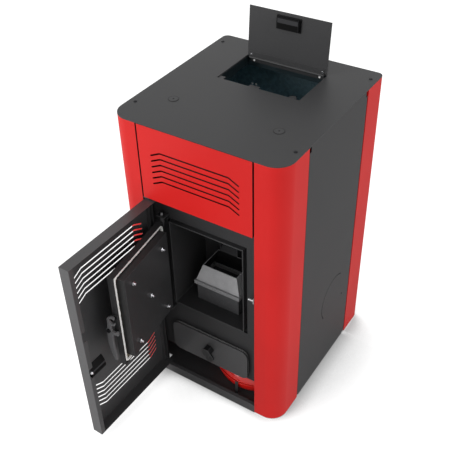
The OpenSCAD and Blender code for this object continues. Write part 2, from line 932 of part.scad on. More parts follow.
// Folded tray of the outer door
module outer_door_tray() {
    at_outer_door() color(dark) difference() {
        union() {
            box(door_left, door_right, front, tray_in, door_low, door_top);
            box(door_right - door_t, door_right, front, door_back, door_low, door_top);
            box(door_right - hem_w, door_right, door_back - door_t, door_back, door_low, door_top);
            for (x = [door_left, door_left + rib_in])
                box(x, x + door_t, front, front + rib_d, door_low, door_top);
            for (z = [door_low, door_top - door_t])
                box(door_left, door_right, front, door_back, z, z + door_t);
            for (z = [door_low, door_top - boss_h]) rod_z(pivot_x, pivot_y, z, z + boss_h, boss_r);
        }
        door_cuts();
        rod_z(pivot_x, pivot_y, door_low - cut, door_top + cut, pivot_r + run_gap);
        for (n = hem_notches)
            box(door_right - hem_w - cut, door_right - door_t, door_back - door_t - cut, door_back + cut,
                n[0], n[1]);
    }
}

// Finger pull set into the outer door's face
module door_finger_pull() {
    at_outer_door() color(black) difference() {
        carry_x(pull_x0, pull_x1)
            polygon([[tray_in, pull_low], [pull_foot, pull_low], [pull_back, pull_bend],
                [pull_neck, pull_mid], [tray_in, pull_high]]);
        carry_x(pull_x0 + pull_wall, pull_x1 - pull_wall) {
            inner_neck = pull_neck - pull_wall;
            inner_mid = pull_high - pull_drop - pull_slope * (inner_neck - tray_in);
            polygon([[tray_in - cut, pull_low + pull_wall], [pull_foot - pull_wall, pull_low + pull_wall],
                [pull_back - pull_wall, pull_bend], [inner_neck, inner_mid],
                [tray_in - cut, pull_high - pull_drop + pull_slope * cut]]);
        }
    }
}

// Ball that holds the closed outer door
module door_ball_catch() {
    at_outer_door() color(steel) {
        rod_y(ball_x, tray_in, tray_in + pull_wall, ball_z, ball_foot_r);
        rod_y(ball_x, tray_in, ball_y, ball_z, ball_stem_r);
        translate([ball_x, ball_y, ball_z]) sphere(ball_r);
    }
}

// Steel tray of the fire door with its hinge knuckles
module fire_door_tray() {
    at_fire_door() color(dark) difference() {
        union() {
            difference() {
                box(-fire_half, fire_half, fire_out, hinge_y + rim_over, fire_door_low, fire_top);
                box(-fire_half + fire_door_t, fire_half - fire_door_t, board_front, hinge_y + rim_over + cut,
                    fire_door_low + fire_door_t, fire_top - fire_door_t);
            }
            for (z = [upper_knuckle, lower_knuckle]) {
                strap_low = max(z, fire_door_low);
                strap_top = min(z + knuckle_h, fire_top);
                rod_z(-hinge_x, hinge_y, z, z + knuckle_h, knuckle_r);
                box(-hinge_x, -fire_half, hinge_y - knuckle_r, hinge_y, strap_low, strap_top);
            }
        }
        rod_z(-hinge_x, hinge_y, 0, body_h, hinge_r + run_gap);
        for (z = latch_screw_z)
            rod_x(fire_half - fire_door_t - cut, fire_half + cut, hinge_y, z, latch_screw_r);
    }
}

// Places of the baffle's studs
module at_studs() {
    for (p = [[-1, -1], [-1, 1], [1, -1], [1, 1], [0, 0]])
        translate([p[0] * stud_dx / 2, 0, baffle_z + p[1] * stud_dz / 2]) children();
}

// Insulating board and block of the fire door
module fire_door_insulation() {
    inner_x = baffle_w / 2 - baffle_t;
    inner_z = baffle_h / 2 - baffle_t;
    at_fire_door() color(cast) difference() {
        union() {
            box(-fire_half + fire_door_t, fire_half - fire_door_t, board_front, hinge_y,
                fire_door_low + fire_door_t, fire_top - fire_door_t);
            box(-inner_x, inner_x, hinge_y, baffle_face, baffle_z - inner_z, baffle_z + inner_z);
        }
        at_studs() rod_y(0, board_front - cut, baffle_face + cut, 0, stud_r);
    }
}

// Rope gasket of the fire door
module fire_door_rope() {
    at_fire_door() color(rope_white) rope_ring(rope_x, rope_z, rope_y, fire_mid, rope_corner, rope_r);
}

// Baffle pan that faces the fire
module fire_door_baffle() {
    half_x = baffle_w / 2;
    half_z = baffle_h / 2;
    at_fire_door() color(dark) difference() {
        box(-half_x, half_x, hinge_y, baffle_face + baffle_t, baffle_z - half_z, baffle_z + half_z);
        box(-half_x + baffle_t, half_x - baffle_t, hinge_y - cut, baffle_face,
            baffle_z - half_z + baffle_t, baffle_z + half_z - baffle_t);
        at_studs() rod_y(0, baffle_face - cut, baffle_face + baffle_t + cut, 0, stud_r);
    }
}

// Studs and nuts that hold the baffle
module baffle_studs() {
    nut_y = baffle_face + baffle_t;
    at_fire_door() color(steel) at_studs() {
        rod_y(0, board_front, nut_y + stud_out, 0, stud_r);
        translate([0, nut_y + nut_t, 0]) rotate([90, 0, 0]) cylinder(h = nut_t, r = nut_r, $fn = 6);
    }
}

// Plate on the fire door's free side that carries the latch lever
module latch_plate() {
    at_fire_door() color(dark) difference() {
        union() {
            carry_x(fire_half, latch_x) {
                round_rect(latch_y0, latch_y1, latch_low, latch_top, latch_r);
                translate([lever_y, lever_z]) circle(latch_boss_r);
                rect(lever_y, latch_y0 + latch_boss_r, lever_z - latch_boss_r, lever_z + latch_boss_r);
            }
            rod_x(latch_x, latch_boss_x, lever_y, lever_z, latch_boss_r);
        }
        rod_x(fire_half - cut, latch_boss_x + cut, lever_y, lever_z, lever_pin_r);
        for (z = latch_screw_z) rod_x(fire_half - cut, latch_x + cut, hinge_y, z, latch_screw_r);
    }
}

// Socket screws of the latch plate and the lever's pivot screw
module latch_screws() {
    at_fire_door() color(black) difference() {
        union() {
            for (z = latch_screw_z) {
                rod_x(fire_half - fire_door_t, latch_x, hinge_y, z, latch_screw_r);
                rod_x(latch_x, latch_x + latch_head_t, hinge_y, z, latch_head_r);
            }
            rod_x(fire_half, pin_end, lever_y, lever_z, lever_pin_r);
            rod_x(pin_end, pin_end + pin_head_t, lever_y, lever_z, pin_head_r);
        }
        for (z = latch_screw_z) translate([latch_x + latch_head_t / 2, hinge_y, z]) rotate([0, 90, 0])
            cylinder(h = latch_head_t, r = latch_head_r / 2, $fn = 6);
        translate([pin_end + pin_head_t / 2, lever_y, lever_z]) rotate([0, 90, 0])
            cylinder(h = pin_head_t, r = pin_head_r / 2, $fn = 6);
    }
}

// Latch lever with its hook, grip and horn
module latch_lever() {
    at_fire_door() color(black) difference() {
        carry_x(lever_x0, lever_x1) difference() {
            union() {
                translate([lever_y, lever_z]) circle(lever_hub_r);
                rect(lever_y, hook_y1, hook_low, hook_top);
                rect(hook_y0, hook_y1, hook_low, finger_top);
                polygon([[lever_y - 6, lever_z], [lever_y + 7, lever_z],
                    [horn_y - 4, horn_z - 15], [horn_y - 17, horn_z - 5]]);
                translate([horn_y, horn_z]) circle(horn_r);
                intersection() {
                    difference() {
                        translate([grip_y, grip_z]) circle(grip_r, $fn = 192);
                        translate([grip_inner_y, grip_inner_z]) circle(grip_inner_r, $fn = 192);
                    }
                    rect(lever_y - lever_hub_r, grip_edge, lever_z - grip_len, lever_z);
                }
            }
            translate([horn_y, horn_z]) circle(horn_hole);
            rect(horn_edge, horn_y + horn_r + cut, horn_z - horn_r, horn_z + horn_r);
        }
        rod_x(lever_x0 - cut, lever_x1 + cut, lever_y, lever_z, lever_pin_r + run_gap);
    }
}

// Pin and bracket that the latch hooks onto
module catch_pin() {
    color(steel) {
        rod_x(catch_x0, catch_x1 - catch_plate_t, catch_y, catch_z, catch_r);
        box(catch_x1 - catch_plate_t, catch_x1, catch_y - catch_r - 2, plate_y, catch_low, catch_top);
    }
}

// Firebox with its throat, open to the front
module firebox() {
    color(dark) difference() {
        box(-throat_half, throat_half, throat_y, firebox_back, throat_low, throat_top);
        box(-throat_half + fire_t, throat_half - fire_t, throat_y - cut, firebox_back - fire_t,
            throat_low + fire_t, throat_top - fire_t);
        box(-ash_hole_x, ash_hole_x, ash_hole_y0, ash_hole_y1, throat_low - cut, throat_low + fire_t + cut);
        box(-chute_x, chute_x, firebox_back - fire_t - cut, firebox_back + cut, chute_low, chute_top);
        box(-gas_x, gas_x, firebox_back - fire_t - cut, firebox_back + cut, gas_low, gas_high);
    }
}

// Water jacket with the ash shaft and the gas duct behind the firebox
module water_jacket() {
    t = jacket_t;
    color(cast) difference() {
        union() {
            difference() {
                box(-jacket_x, jacket_x, jacket_front, jacket_back, jacket_low, jacket_top);
                box(-jacket_x + t, jacket_x - t, jacket_front + t, jacket_back - t,
                    jacket_low + t, jacket_top - t);
            }
            box(-ash_hole_x - t, ash_hole_x + t, ash_hole_y0 - t, ash_hole_y1 + t, jacket_low, throat_low);
            box(-gas_x - t, gas_x + t, firebox_back, jacket_back, gas_foot - t, gas_high + t);
        }
        box(-throat_half, throat_half, jacket_front - cut, jacket_front + t + cut, throat_low, throat_top);
        box(-ash_hole_x, ash_hole_x, ash_hole_y0, ash_hole_y1, jacket_low - cut, throat_low + cut);
        box(-gas_x, gas_x, firebox_back - cut, jacket_back - t, gas_foot, gas_high);
        box(-chute_x, chute_x, jacket_back - t - cut, jacket_back + cut, chute_low, chute_top);
        box(smoke_hole[0], smoke_hole[1], jacket_back - t - cut, jacket_back + cut,
            smoke_hole[2], smoke_hole[3]);
        for (z = [flow_z, return_z])
            rod_y(pipe_x, jacket_back - t - cut, jacket_back + cut, z, pipe_r - pipe_wall);
    }
}

// Burner pot with its rim and a perforated bottom
module burner_pot() {
    y0 = pot_y - pot_d / 2;
    y1 = pot_y + pot_d / 2;
    pitch_x = (pot_w - 4 * pot_t) / pot_hole_nx;
    pitch_y = (pot_d - 4 * pot_t) / pot_hole_ny;
    color(cast) difference() {
        union() {
            box(-pot_half, pot_half, y0, y1, pot_floor, pot_top);
            box(-pot_half - rim_out, pot_half + rim_out, y0 - rim_out, y1 + rim_out,
                pot_top - rim_h, pot_top);
        }
        box(-pot_half + pot_t, pot_half - pot_t, y0 + pot_t, y1 - pot_t, pot_floor + pot_t, pot_top + cut);
        for (i = [0 : pot_hole_nx - 1], j = [0 : pot_hole_ny - 1])
            rod_z((i - (pot_hole_nx - 1) / 2) * pitch_x, pot_y + (j - (pot_hole_ny - 1) / 2) * pitch_y,
                pot_floor - cut, pot_floor + pot_t + cut, pot_hole_r);
        rod_y(igniter_x, y1 - pot_t - cut, y1 + cut, igniter_z, igniter_r + seat_gap);
    }
}

// Solid form of the hood, drawn in by the given thickness
module hood_form(t) {
    top = pot_top + hood_h;
    y0 = hood_front_y + t;
    y1 = hood_back - t;
    x = hood_low - t;
    intersection() {
        carry_y(y0 - cut, y1 + cut)
            polygon([[-x, pot_top], [x, pot_top], [x - hood_side, top], [-x + hood_side, top]]);
        carry_x(-x - cut, x + cut)
            polygon([[y0, pot_top], [y1, pot_top], [y1, top], [y0 + hood_front, top]]);
    }
}

// Hood on the burner pot, open at the top and the bottom
module burner_hood() {
    color(steel) difference() {
        hood_form(0);
        translate([0, 0, -cut / 2]) hood_form(hood_t);
        translate([0, 0, cut / 2]) hood_form(hood_t);
    }
}

// Igniter rod behind the burner pot
module igniter() {
    inner_back = firebox_back - fire_t;
    color(steel) {
        rod_y(igniter_x, inner_back - 3, inner_back, igniter_z, igniter_r * 2);
        rod_y(igniter_x, pot_y + pot_d / 2 - pot_t - 8, inner_back - 3, igniter_z, igniter_r);
    }
}

// Chute that drops the pellets into the burner pot
module drop_chute() {
    y1 = firebox_back - fire_t;
    y0 = y1 - chute_reach;
    t = chute_t;
    slant = t * sqrt(2);
    flange = chute_x + 13;
    color(cast) difference() {
        union() {
            box(-chute_x, chute_x, y1, jacket_back, chute_low, chute_top);
            carry_x(-chute_x, chute_x)
                polygon([[y1, chute_low], [y1, chute_top],
                    [y0, chute_top - chute_reach], [y0, chute_low - chute_reach]]);
            box(-flange, flange, jacket_back, tube_y0, chute_low - 16, chute_top + 20);
        }
        box(-chute_x + t, chute_x - t, y1 - cut, jacket_back, chute_low + t, chute_top - t);
        carry_x(-chute_x + t, chute_x - t)
            polygon([[y1, chute_low + slant], [y1, chute_top - slant],
                [y0 - cut, chute_top - slant - chute_reach - cut],
                [y0 - cut, chute_low + slant - chute_reach - cut]]);
        rod_y(0, jacket_back - cut, tube_y0 + cut, auger_z, auger_in_r);
    }
}

// Front of the ash drawer
module ash_front() {
    color(dark) difference() {
        carry_y(ash_front_y, ash_back) round_rect(-ash_half, ash_half, ash_low, ash_low + ash_h, ash_r);
        rod_y(0, ash_front_y - cut, ash_back + cut, turn_z, turn_shaft_r + run_gap);
    }
}

// Rope gasket of the ash drawer
module ash_rope() {
    color(dark)
        rope_ring(ash_rope_x, ash_rope_z, ash_back + ash_rope_r, ash_mid, ash_rope_corner, ash_rope_r);
}

// Ash pan with the two arms that join it to the front
module ash_pan() {
    y1 = pan_y0 + ash_pan_d;
    color(zinc) {
        difference() {
            box(-pan_x, pan_x, pan_y0, y1, pan_low, pan_top);
            box(-pan_x + pan_t, pan_x - pan_t, pan_y0 + pan_t, y1 - pan_t, pan_low + pan_t, pan_top + cut);
        }
        both() box(pan_x - pan_arm_t, pan_x, ash_back, pan_y0,
            pan_low + 2 * pan_arm_t, pan_top - 2 * pan_arm_t);
    }
}

// Turn handle with its shaft
module ash_handle() {
    edge = [for (p = [[turn_neck, 0], [turn_neck, 0.31], [turn_end, 0.62], [turn_end, 0.74], [turn_foot, 1]])
        [p[0], turn_z - p[1] * turn_tail]];
    color(black) {
        translate([0, turn_y, turn_z]) rotate([90, 0, 0])
            cylinder(h = turn_hub_t, r = turn_hub_w / sqrt(3), $fn = 6);
        carry_y(turn_y - turn_tail_t, turn_y)
            polygon(concat(edge, [for (i = [len(edge) - 1 : -1 : 0]) [-edge[i][0], edge[i][1]]]));
        rod_y(0, turn_y, bar_arm_y + bar_arm_t + 2, turn_z, turn_shaft_r);
    }
}

// Bar that turns behind the front plate and holds the drawer shut
module ash_latch_bar() {
    color(steel) carry_y(bar_arm_y, bar_arm_y + bar_arm_t) difference() {
        union() {
            translate([0, turn_z]) circle(bar_arm_w * 3 / 4);
            rect(-bar_arm, 0, turn_z - bar_arm_w / 2, turn_z + bar_arm_w / 2);
        }
        translate([0, turn_z]) circle(turn_shaft_r);
    }
}

// Stand of the boiler body with the ash box
module boiler_stand() {
    t = stand_t;
    x = ash_open_half;
    color(cast) {
        difference() {
            box(-x - t, x + t, plate_back, jacket_back, box_floor - t, jacket_low);
            box(-x, x, plate_back - cut, jacket_back - t, box_floor, jacket_low - t);
            box(-x, x, jacket_front, jacket_back - t, box_floor, jacket_low + cut);
        }
        for (y = bar_y) {
            box(-bar_x, bar_x, y, y + bar_w, bar_top - bar_t, bar_top);
            both() box(leg_x - leg_w / 2, leg_x + leg_w / 2, y + (bar_w - leg_w) / 2, y + (bar_w + leg_w) / 2,
                base_t, bar_top - bar_t);
        }
        both() box(x - rail_w, x + t, bar_y[0], bar_y[1] + bar_w, bar_top, box_floor - t);
    }
}

// Frame under the hopper mouth with the rests of the lid
module hopper_frame() {
    lug_y = mouth_y + lug_reach;
    color(dark) carry_z(frame_low, plate_low) {
        difference() {
            rect(-mouth_half - frame_side, mouth_half + frame_side,
                mouth_y - frame_side, mouth_back + frame_side);
            rect(-mouth_half, mouth_half, mouth_y, mouth_back);
        }
        rect(-mouth_half, -mouth_half + lug_reach, mouth_y, lug_y);
        rect(-lug_reach - 13, 2, mouth_y, lug_y - 4);
        translate([mouth_half - 28, lug_y - 12]) circle(12);
        rect(mouth_half - 40, mouth_half - 16, mouth_y, lug_y - 12);
    }
}

// Solid form of the hopper's funnel, drawn in by the given thickness
module funnel_form(t) {
    x = bin_w / 2 - t;
    intersection() {
        carry_y(bin_y0, bin_y1)
            polygon([[-outlet_x + t, outlet_z], [outlet_x - t, outlet_z], [x, bin_low], [-x, bin_low]]);
        carry_x(-x - cut, x + cut)
            polygon([[outlet_y0 + t, outlet_z], [outlet_y1 - t, outlet_z],
                [bin_y1 - t, bin_low], [bin_y0 + t, bin_low]]);
    }
}

// Pellet bin with its neck, funnel and outlet
module hopper_bin() {
    t = hopper_t;
    x = bin_w / 2;
    color(zinc) difference() {
        union() {
            box(-x, x, bin_y0, bin_y1, bin_low, bin_top);
            box(-mouth_half - t, mouth_half + t, mouth_y - t, mouth_back + t, bin_top, frame_low);
            funnel_form(0);
            box(-outlet_x, outlet_x, outlet_y0, outlet_y1, auger_z, outlet_z);
        }
        box(-x + t, x - t, bin_y0 + t, bin_y1 - t, bin_low, bin_top - t);
        box(-mouth_half, mouth_half, mouth_y, mouth_back, bin_top - t - cut, frame_low + cut);
        funnel_form(t);
        box(-outlet_x + t, outlet_x - t, outlet_y0 + t, outlet_y1 - t, auger_z - cut, outlet_z);
        rod_y(0, outlet_y0 - cut, outlet_y1 + cut, auger_z, tube_r);
    }
}

// Lid of the hopper
module hopper_lid() {
    x = lid_pull_w / 2 - 4;
    y = lid_y0 + lid_pull_in + 4;
    at_lid() color(grey) difference() {
        box(-lid_half, lid_half, lid_y0, lid_y1, lid_low, lid_top);
        box(-x, x, y, y + lid_pull_h - 8, lid_low - cut, lid_top + cut);
        both() rod_z(lid_screw_x, lid_screw_y, lid_low - cut, lid_top + cut, lid_pin_r);
    }
}

// Recessed pull of the lid
module lid_pull() {
    x = lid_pull_w / 2;
    y0 = lid_y0 + lid_pull_in;
    y1 = y0 + lid_pull_h;
    at_lid() color(black) difference() {
        union() {
            box(-x, x, y0, y1, lid_low - 3, lid_low);
            box(-x + 4, x - 4, y0 + 4, y1 - 4, lid_low - lid_pull_d, lid_top);
        }
        box(-x + 6, x - 6, y0 + 6, y1 - 6, lid_low - lid_pull_d + 2, lid_top + cut);
    }
}

// Knuckles of the lid's hinge, from the first one on, every second one
module lid_knuckles(first) {
    for (i = [first : 2 : 4]) {
        x = -leaf_half + i * knuckle_len;
        rod_x(x + seat_gap / 2, x + knuckle_len - seat_gap / 2, axis_y, axis_z, lid_knuckle_r);
    }
}

// Fixed leaf of the lid's hinge with its pin
module lid_hinge_strip() {
    color(dark) {
        difference() {
            union() {
                lid_knuckles(0);
                box(-leaf_half, leaf_half, strip_y, mouth_back, strip_low, axis_z - lid_knuckle_r - 1);
                for (i = [0, 2, 4]) {
                    x = -leaf_half + i * knuckle_len;
                    box(x + seat_gap / 2, x + knuckle_len - seat_gap / 2, strip_y, mouth_back,
                        strip_low, axis_z);
                }
            }
            rod_x(-leaf_half - cut, leaf_half + cut, axis_y, axis_z, lid_pin_r);
            both() rod_y(strip_screw_x, strip_y - cut, mouth_back + cut, strip_screw_z, lid_pin_r);
        }
        rod_x(-leaf_half, leaf_half, axis_y, axis_z, lid_pin_r);
    }
}

// Moving leaf of the lid's hinge
module lid_hinge_leaf() {
    leaf_y0 = lid_screw_y - leaf_w;
    at_lid() color(dark) difference() {
        union() {
            lid_knuckles(1);
            box(-leaf_half, leaf_half, leaf_y0, axis_y - lid_knuckle_r - seat_gap, lid_low - leaf_t, lid_low);
            for (i = [1, 3]) {
                x = -leaf_half + i * knuckle_len;
                box(x + seat_gap / 2, x + knuckle_len - seat_gap / 2, leaf_y0, axis_y,
                    lid_low - leaf_t, lid_low);
            }
        }
        rod_x(-leaf_half - cut, leaf_half + cut, axis_y, axis_z, lid_pin_r + run_gap);
        both() rod_z(lid_screw_x, lid_screw_y, lid_low - leaf_t - cut, lid_low + cut, lid_pin_r);
    }
}

// Screws that hold the lid to its hinge leaf
module lid_screws() {
    at_lid() color(steel) both() {
        rod_z(lid_screw_x, lid_screw_y, lid_low - leaf_t - 2, lid_low - leaf_t, lid_pin_r + 1.5);
        rod_z(lid_screw_x, lid_screw_y, lid_low - leaf_t, lid_top, lid_pin_r);
    }
}

// Screws that hold the hinge strip to the neck of the hopper
module strip_screws() {
    color(steel) both() {
        rod_y(strip_screw_x, strip_y - 2, strip_y, strip_screw_z, lid_pin_r + 1.5);
        rod_y(strip_screw_x, strip_y, mouth_back, strip_screw_z, lid_pin_r);
    }
}

// Tube of the auger with the inlet under the hopper
module auger_tube() {
    inlet_half = outlet_x - hopper_t - 1;
    color(cast) difference() {
        rod_y(0, tube_y0, tube_y1, auger_z, tube_r);
        rod_y(0, tube_y0 - cut, tube_y1 + cut, auger_z, auger_in_r);
        box(-inlet_half, inlet_half, outlet_y0 + hopper_t + 1, outlet_y1 - hopper_t - 1,
            auger_z, auger_z + tube_r + cut);
    }
}

// Auger shaft with its flight
module auger_screw() {
    sector = 360 * flight_t / flight_pitch;
    inner = auger_shaft_r + seat_gap;
    color(steel) {
        rod_y(0, flight_y0, auger_end, auger_z, auger_shaft_r);
        translate([0, flight_y1, auger_z]) rotate([90, 0, 0])
            linear_extrude(flight_y1 - flight_y0, twist = 360 * flight_turns, slices = 16 * flight_turns,
                $fn = 12)
                polygon([for (a = [0, sector]) inner * [cos(a), sin(a)], for (a = [sector, sector / 2, 0])
                    flight_r * [cos(a), sin(a)]]);
    }
}

// Gear motor that turns the auger
module auger_motor() {
    gear_y = tube_y1 + motor_plate;
    color(grey) difference() {
        union() {
            rod_y(0, tube_y1, gear_y, auger_z, tube_r + 4);
            box(-gear_half, gear_half, gear_y, gear_y + gear_d, auger_z - gear_half, auger_z + gear_half);
            rod_y(0, gear_y + gear_d, gear_y + gear_d + auger_motor_l, auger_z, auger_motor_r);
        }
        rod_y(0, tube_y1 - cut, auger_end + 1, auger_z, auger_shaft_r + run_gap);
    }
}

// Housing of the flue fan with the smoke box and the outlet
module fan_housing() {
    t = fan_t;
    smoke_x = smoke_hole[1] + 10;
    smoke_y = fan_y + 50;
    smoke_low = smoke_hole[2] - 10;
    smoke_top = smoke_hole[3] + 10;
    color(cast) difference() {
        union() {
            rod_x(fan_x0, fan_x1, fan_y, fan_z, fan_r);
            box(fan_x0, fan_x1, fan_y, duct_end - t, flue_z - duct_half, flue_z + duct_half);
            box(fan_x1, smoke_x, jacket_back, smoke_y, smoke_low, smoke_top);
            box(flue_x - flue_r - 2, flue_x + flue_r + 2, duct_end - t, duct_end, flue_z - flue_r - 2,
                flue_z + flue_r + 2);
        }
        rod_x(fan_x0 + t, fan_x1 - t, fan_y, fan_z, fan_r - t);
        box(fan_x0 + t, fan_x1 - t, fan_y, duct_end + cut, flue_z - duct_half + t, flue_z + duct_half - t);
        box(fan_x1 + t, smoke_x - t, jacket_back - cut, smoke_y - t, smoke_low + t, smoke_top - t);
        rod_x(fan_x1 - t - cut, fan_x1 + t + cut, fan_y, fan_z, wheel_r / 2);
        rod_x(fan_x0 - cut, fan_x0 + t + cut, fan_y, fan_z, fan_shaft_r + 2);
    }
}

// Wheel of the flue fan with its shaft
module fan_wheel() {
    hub_r = 3 * fan_shaft_r;
    disc_x0 = fan_x0 + 7;
    blade_x1 = fan_x1 - 10;
    color(steel) {
        rod_x(disc_x0, disc_x0 + fan_t, fan_y, fan_z, wheel_r);
        rod_x(disc_x0, disc_x0 + 5 * fan_t, fan_y, fan_z, hub_r);
        rod_x(fan_x0 - 20, disc_x0, fan_y, fan_z, fan_shaft_r);
        for (i = [0 : blade_count - 1]) translate([0, fan_y, fan_z]) rotate([i * 360 / blade_count, 0, 0])
            box(disc_x0, blade_x1, -fan_t / 2, fan_t / 2, 2 * hub_r, wheel_r - fan_t);
    }
}

// Motor of the flue fan
module fan_motor() {
    color(grey) difference() {
        rod_x(fan_x0 - fan_motor_l, fan_x0, fan_y, fan_z, fan_motor_r);
        rod_x(fan_x0 - 21, fan_x0 + cut, fan_y, fan_z, fan_shaft_r + run_gap);
    }
}

// Spigot that the flue pipe fits on
module flue_spigot() {
    color(cast) difference() {
        rod_y(flue_x, duct_end, back_out + flue_out, flue_z, flue_r);
        rod_y(flue_x, duct_end - cut, back_out + flue_out + cut, flue_z, flue_r - flue_wall);
    }
}

// Expansion vessel lying in the base
module expansion_vessel() {
    t = vessel_wall;
    rim_r = vessel_r + vessel_rim;
    color(red) translate([vessel_x, vessel_y, 0]) rotate_extrude($fn = 96) difference() {
        union() {
            intersection() {
                round_rect(-vessel_r, vessel_r, base_t, vessel_top, vessel_corner);
                rect(0, vessel_r, base_t, vessel_top);
            }
            rect(vessel_r - t, rim_r, vessel_rim_z, vessel_rim_z + vessel_rim_h);
        }
        intersection() {
            round_rect(-vessel_r + t, vessel_r - t, base_t + t, vessel_top - t, vessel_corner - t);
            rect(0, vessel_r, base_t, vessel_top);
        }
        rect(0, vessel_port, vessel_top - t - cut, vessel_top + cut);
    }
}

// Circulation pump on the return pipe
module circulation_pump() {
    color(dark) difference() {
        union() {
            rod_x(pipe_x - pump_body, pipe_x + pump_body, pump_y, return_z, pump_half - 5);
            rod_x(pipe_x + pump_body, pipe_x + pump_motor, pump_y, return_z, pump_half - 10);
            rod_y(pipe_x, pump_y - pump_half, pump_y + pump_half, return_z, pipe_r + 7);
        }
        rod_y(pipe_x, pump_y - pump_half - cut, pump_y + pump_half + cut, return_z, pipe_r - pipe_wall);
    }
}

// Flow and return pipes from the jacket to the back
module water_pipes() {
    end = back_out + pipe_out;
    inner = pipe_r - pipe_wall;
    color(zinc) difference() {
        union() {
            rod_y(pipe_x, jacket_back, end, flow_z, pipe_r);
            rod_y(pipe_x, jacket_back, pump_y - pump_half, return_z, pipe_r);
            rod_y(pipe_x, pump_y + pump_half, end, return_z, pipe_r);
        }
        for (z = [flow_z, return_z]) rod_y(pipe_x, jacket_back - cut, end + cut, z, inner);
    }
}

// Safety valve on top of the jacket
module safety_valve() {
    color(zinc) {
        rod_z(pipe_x, valve_y, jacket_top, jacket_top + 30, pipe_r);
        rod_y(pipe_x, valve_y, valve_y + 30, jacket_top + 16, pipe_r - 3);
        rod_z(pipe_x, valve_y, jacket_top + 30, jacket_top + 48, pipe_r + 3);
    }
}

// Box of the controls behind the upper front panel
module control_box() {
    t = box_wall;
    end = plate_back + box_d;
    color(dark) difference() {
        union() {
            difference() {
                box(-box_x, box_x, plate_back, end, box_low, box_high);
                box(-box_x + t, box_x - t, plate_back + t, end + cut, box_low + t, box_high - t);
            }
            box(-box_x, box_x, plate_back + box_d / 3, plate_back + box_d / 3 + t, box_low, box_high);
            for (i = [-2 : 2]) rod_z(i * box_x / 3, plate_back + box_d * 2 / 3, box_low - 12, box_low, 9);
        }
        for (i = [-2 : 2])
            rod_z(i * box_x / 3, plate_back + box_d * 2 / 3, box_low - 13, box_low + t + cut, 6);
    }
}

// Mains inlet at the back
module mains_inlet() {
    wall = 3;
    deep = back_in - 10;
    color(black) {
        difference() {
            union() {
                box(inlet_x - inlet_w / 2 - 6, inlet_x + inlet_w / 2 + 6, back_out, back_out + 2,
                    inlet_z - inlet_h / 2 - 6, inlet_z + inlet_h / 2 + 6);
                box(inlet_x - inlet_w / 2, inlet_x + inlet_w / 2, deep - wall, back_out,
                    inlet_z - inlet_h / 2, inlet_z + inlet_h / 2);
            }
            box(inlet_x - inlet_w / 2 + wall, inlet_x + inlet_w / 2 - wall, deep, back_out + 2 + cut,
                inlet_z - inlet_h / 2 + wall, inlet_z + inlet_h / 2 - wall);
        }
        for (p = [[-7, -3], [0, 3], [7, -3]])
            box(inlet_x + p[0] - 1, inlet_x + p[0] + 1, deep, back_in,
                inlet_z + p[1] - 2, inlet_z + p[1] + 2);
    }
}

base_tray();
front_column_left();
front_column_right();
rear_strip_left();
rear_strip_right();
side_panel_left();
side_panel_right();
back_panel();
upper_front_panel();
front_plate();
top_plate();
plate_screws();
blanking_discs();
hinge_brackets();
hinge_pins();
outer_door_tray();
door_finger_pull();
door_ball_catch();
fire_door_tray();
fire_door_insulation();
fire_door_rope();
fire_door_baffle();
baffle_studs();
latch_plate();
latch_screws();
latch_lever();
catch_pin();
firebox();
water_jacket();
burner_pot();
burner_hood();
igniter();
drop_chute();
ash_front();
ash_rope();
ash_pan();
ash_handle();
ash_latch_bar();
boiler_stand();
hopper_frame();
hopper_bin();
hopper_lid();
lid_pull();
lid_hinge_strip();
lid_hinge_leaf();
lid_screws();
strip_screws();
auger_tube();
auger_screw();
auger_motor();
fan_housing();
fan_wheel();
fan_motor();
flue_spigot();
expansion_vessel();
circulation_pump();
water_pipes();
safety_valve();
control_box();
mains_inlet();
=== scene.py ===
"""Looks of the pellet boiler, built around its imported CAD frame.

Sizes inside the sub-assemblies are in millimetres, and sizes inside the finishes and the studio in metres.
A finished mesh is in metres, in the frame's own place. What is made new for the two doors is modelled where
it is when they are shut, and then swung open.
"""

import json
import logging
import math
from dataclasses import dataclass
from enum import Enum
from functools import cache, partialmethod
from typing import Callable, Sequence

import bmesh
import bpy
from mathutils import Matrix, Vector, noise


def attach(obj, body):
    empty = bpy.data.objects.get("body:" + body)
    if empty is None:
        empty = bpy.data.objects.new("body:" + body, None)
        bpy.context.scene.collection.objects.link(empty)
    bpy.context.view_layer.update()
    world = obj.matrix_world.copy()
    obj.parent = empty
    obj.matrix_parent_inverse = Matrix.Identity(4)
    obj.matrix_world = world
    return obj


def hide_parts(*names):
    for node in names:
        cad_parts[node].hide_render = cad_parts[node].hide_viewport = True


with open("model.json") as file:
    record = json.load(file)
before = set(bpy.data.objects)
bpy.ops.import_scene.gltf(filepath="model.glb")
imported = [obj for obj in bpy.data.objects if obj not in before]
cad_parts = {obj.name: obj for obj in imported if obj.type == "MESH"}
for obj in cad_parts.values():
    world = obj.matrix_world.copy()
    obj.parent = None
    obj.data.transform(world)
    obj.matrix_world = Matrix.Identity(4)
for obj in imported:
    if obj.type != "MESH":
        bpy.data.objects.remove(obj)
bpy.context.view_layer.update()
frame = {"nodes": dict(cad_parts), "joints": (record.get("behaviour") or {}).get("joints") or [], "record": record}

MM = 0.001
RECORD = frame["record"]
BODY_OF = {node: body for body, nodes in RECORD["behaviour"]["bodies"].items() for node in nodes}
SLOT_OF = {part["node"]: part["material_slot"] for part in RECORD["subparts"]}

# Face attributes of the softened copies: rounded edges, painted paler as wear and partly as painted highlight, and
# faces that don't look up
EDGE_MARK = "worn_and_lit_edge"
UNDER_MARK = "under"
# Largest Z of the normal of a face that counts as not looking up
UNDER_LIMIT = 0.1
# Least share of the axis in the normal of a bar's end
END_LIMIT = 0.9
# UV map that follows a rope's length and its round
ROPE_MAP = "lay"
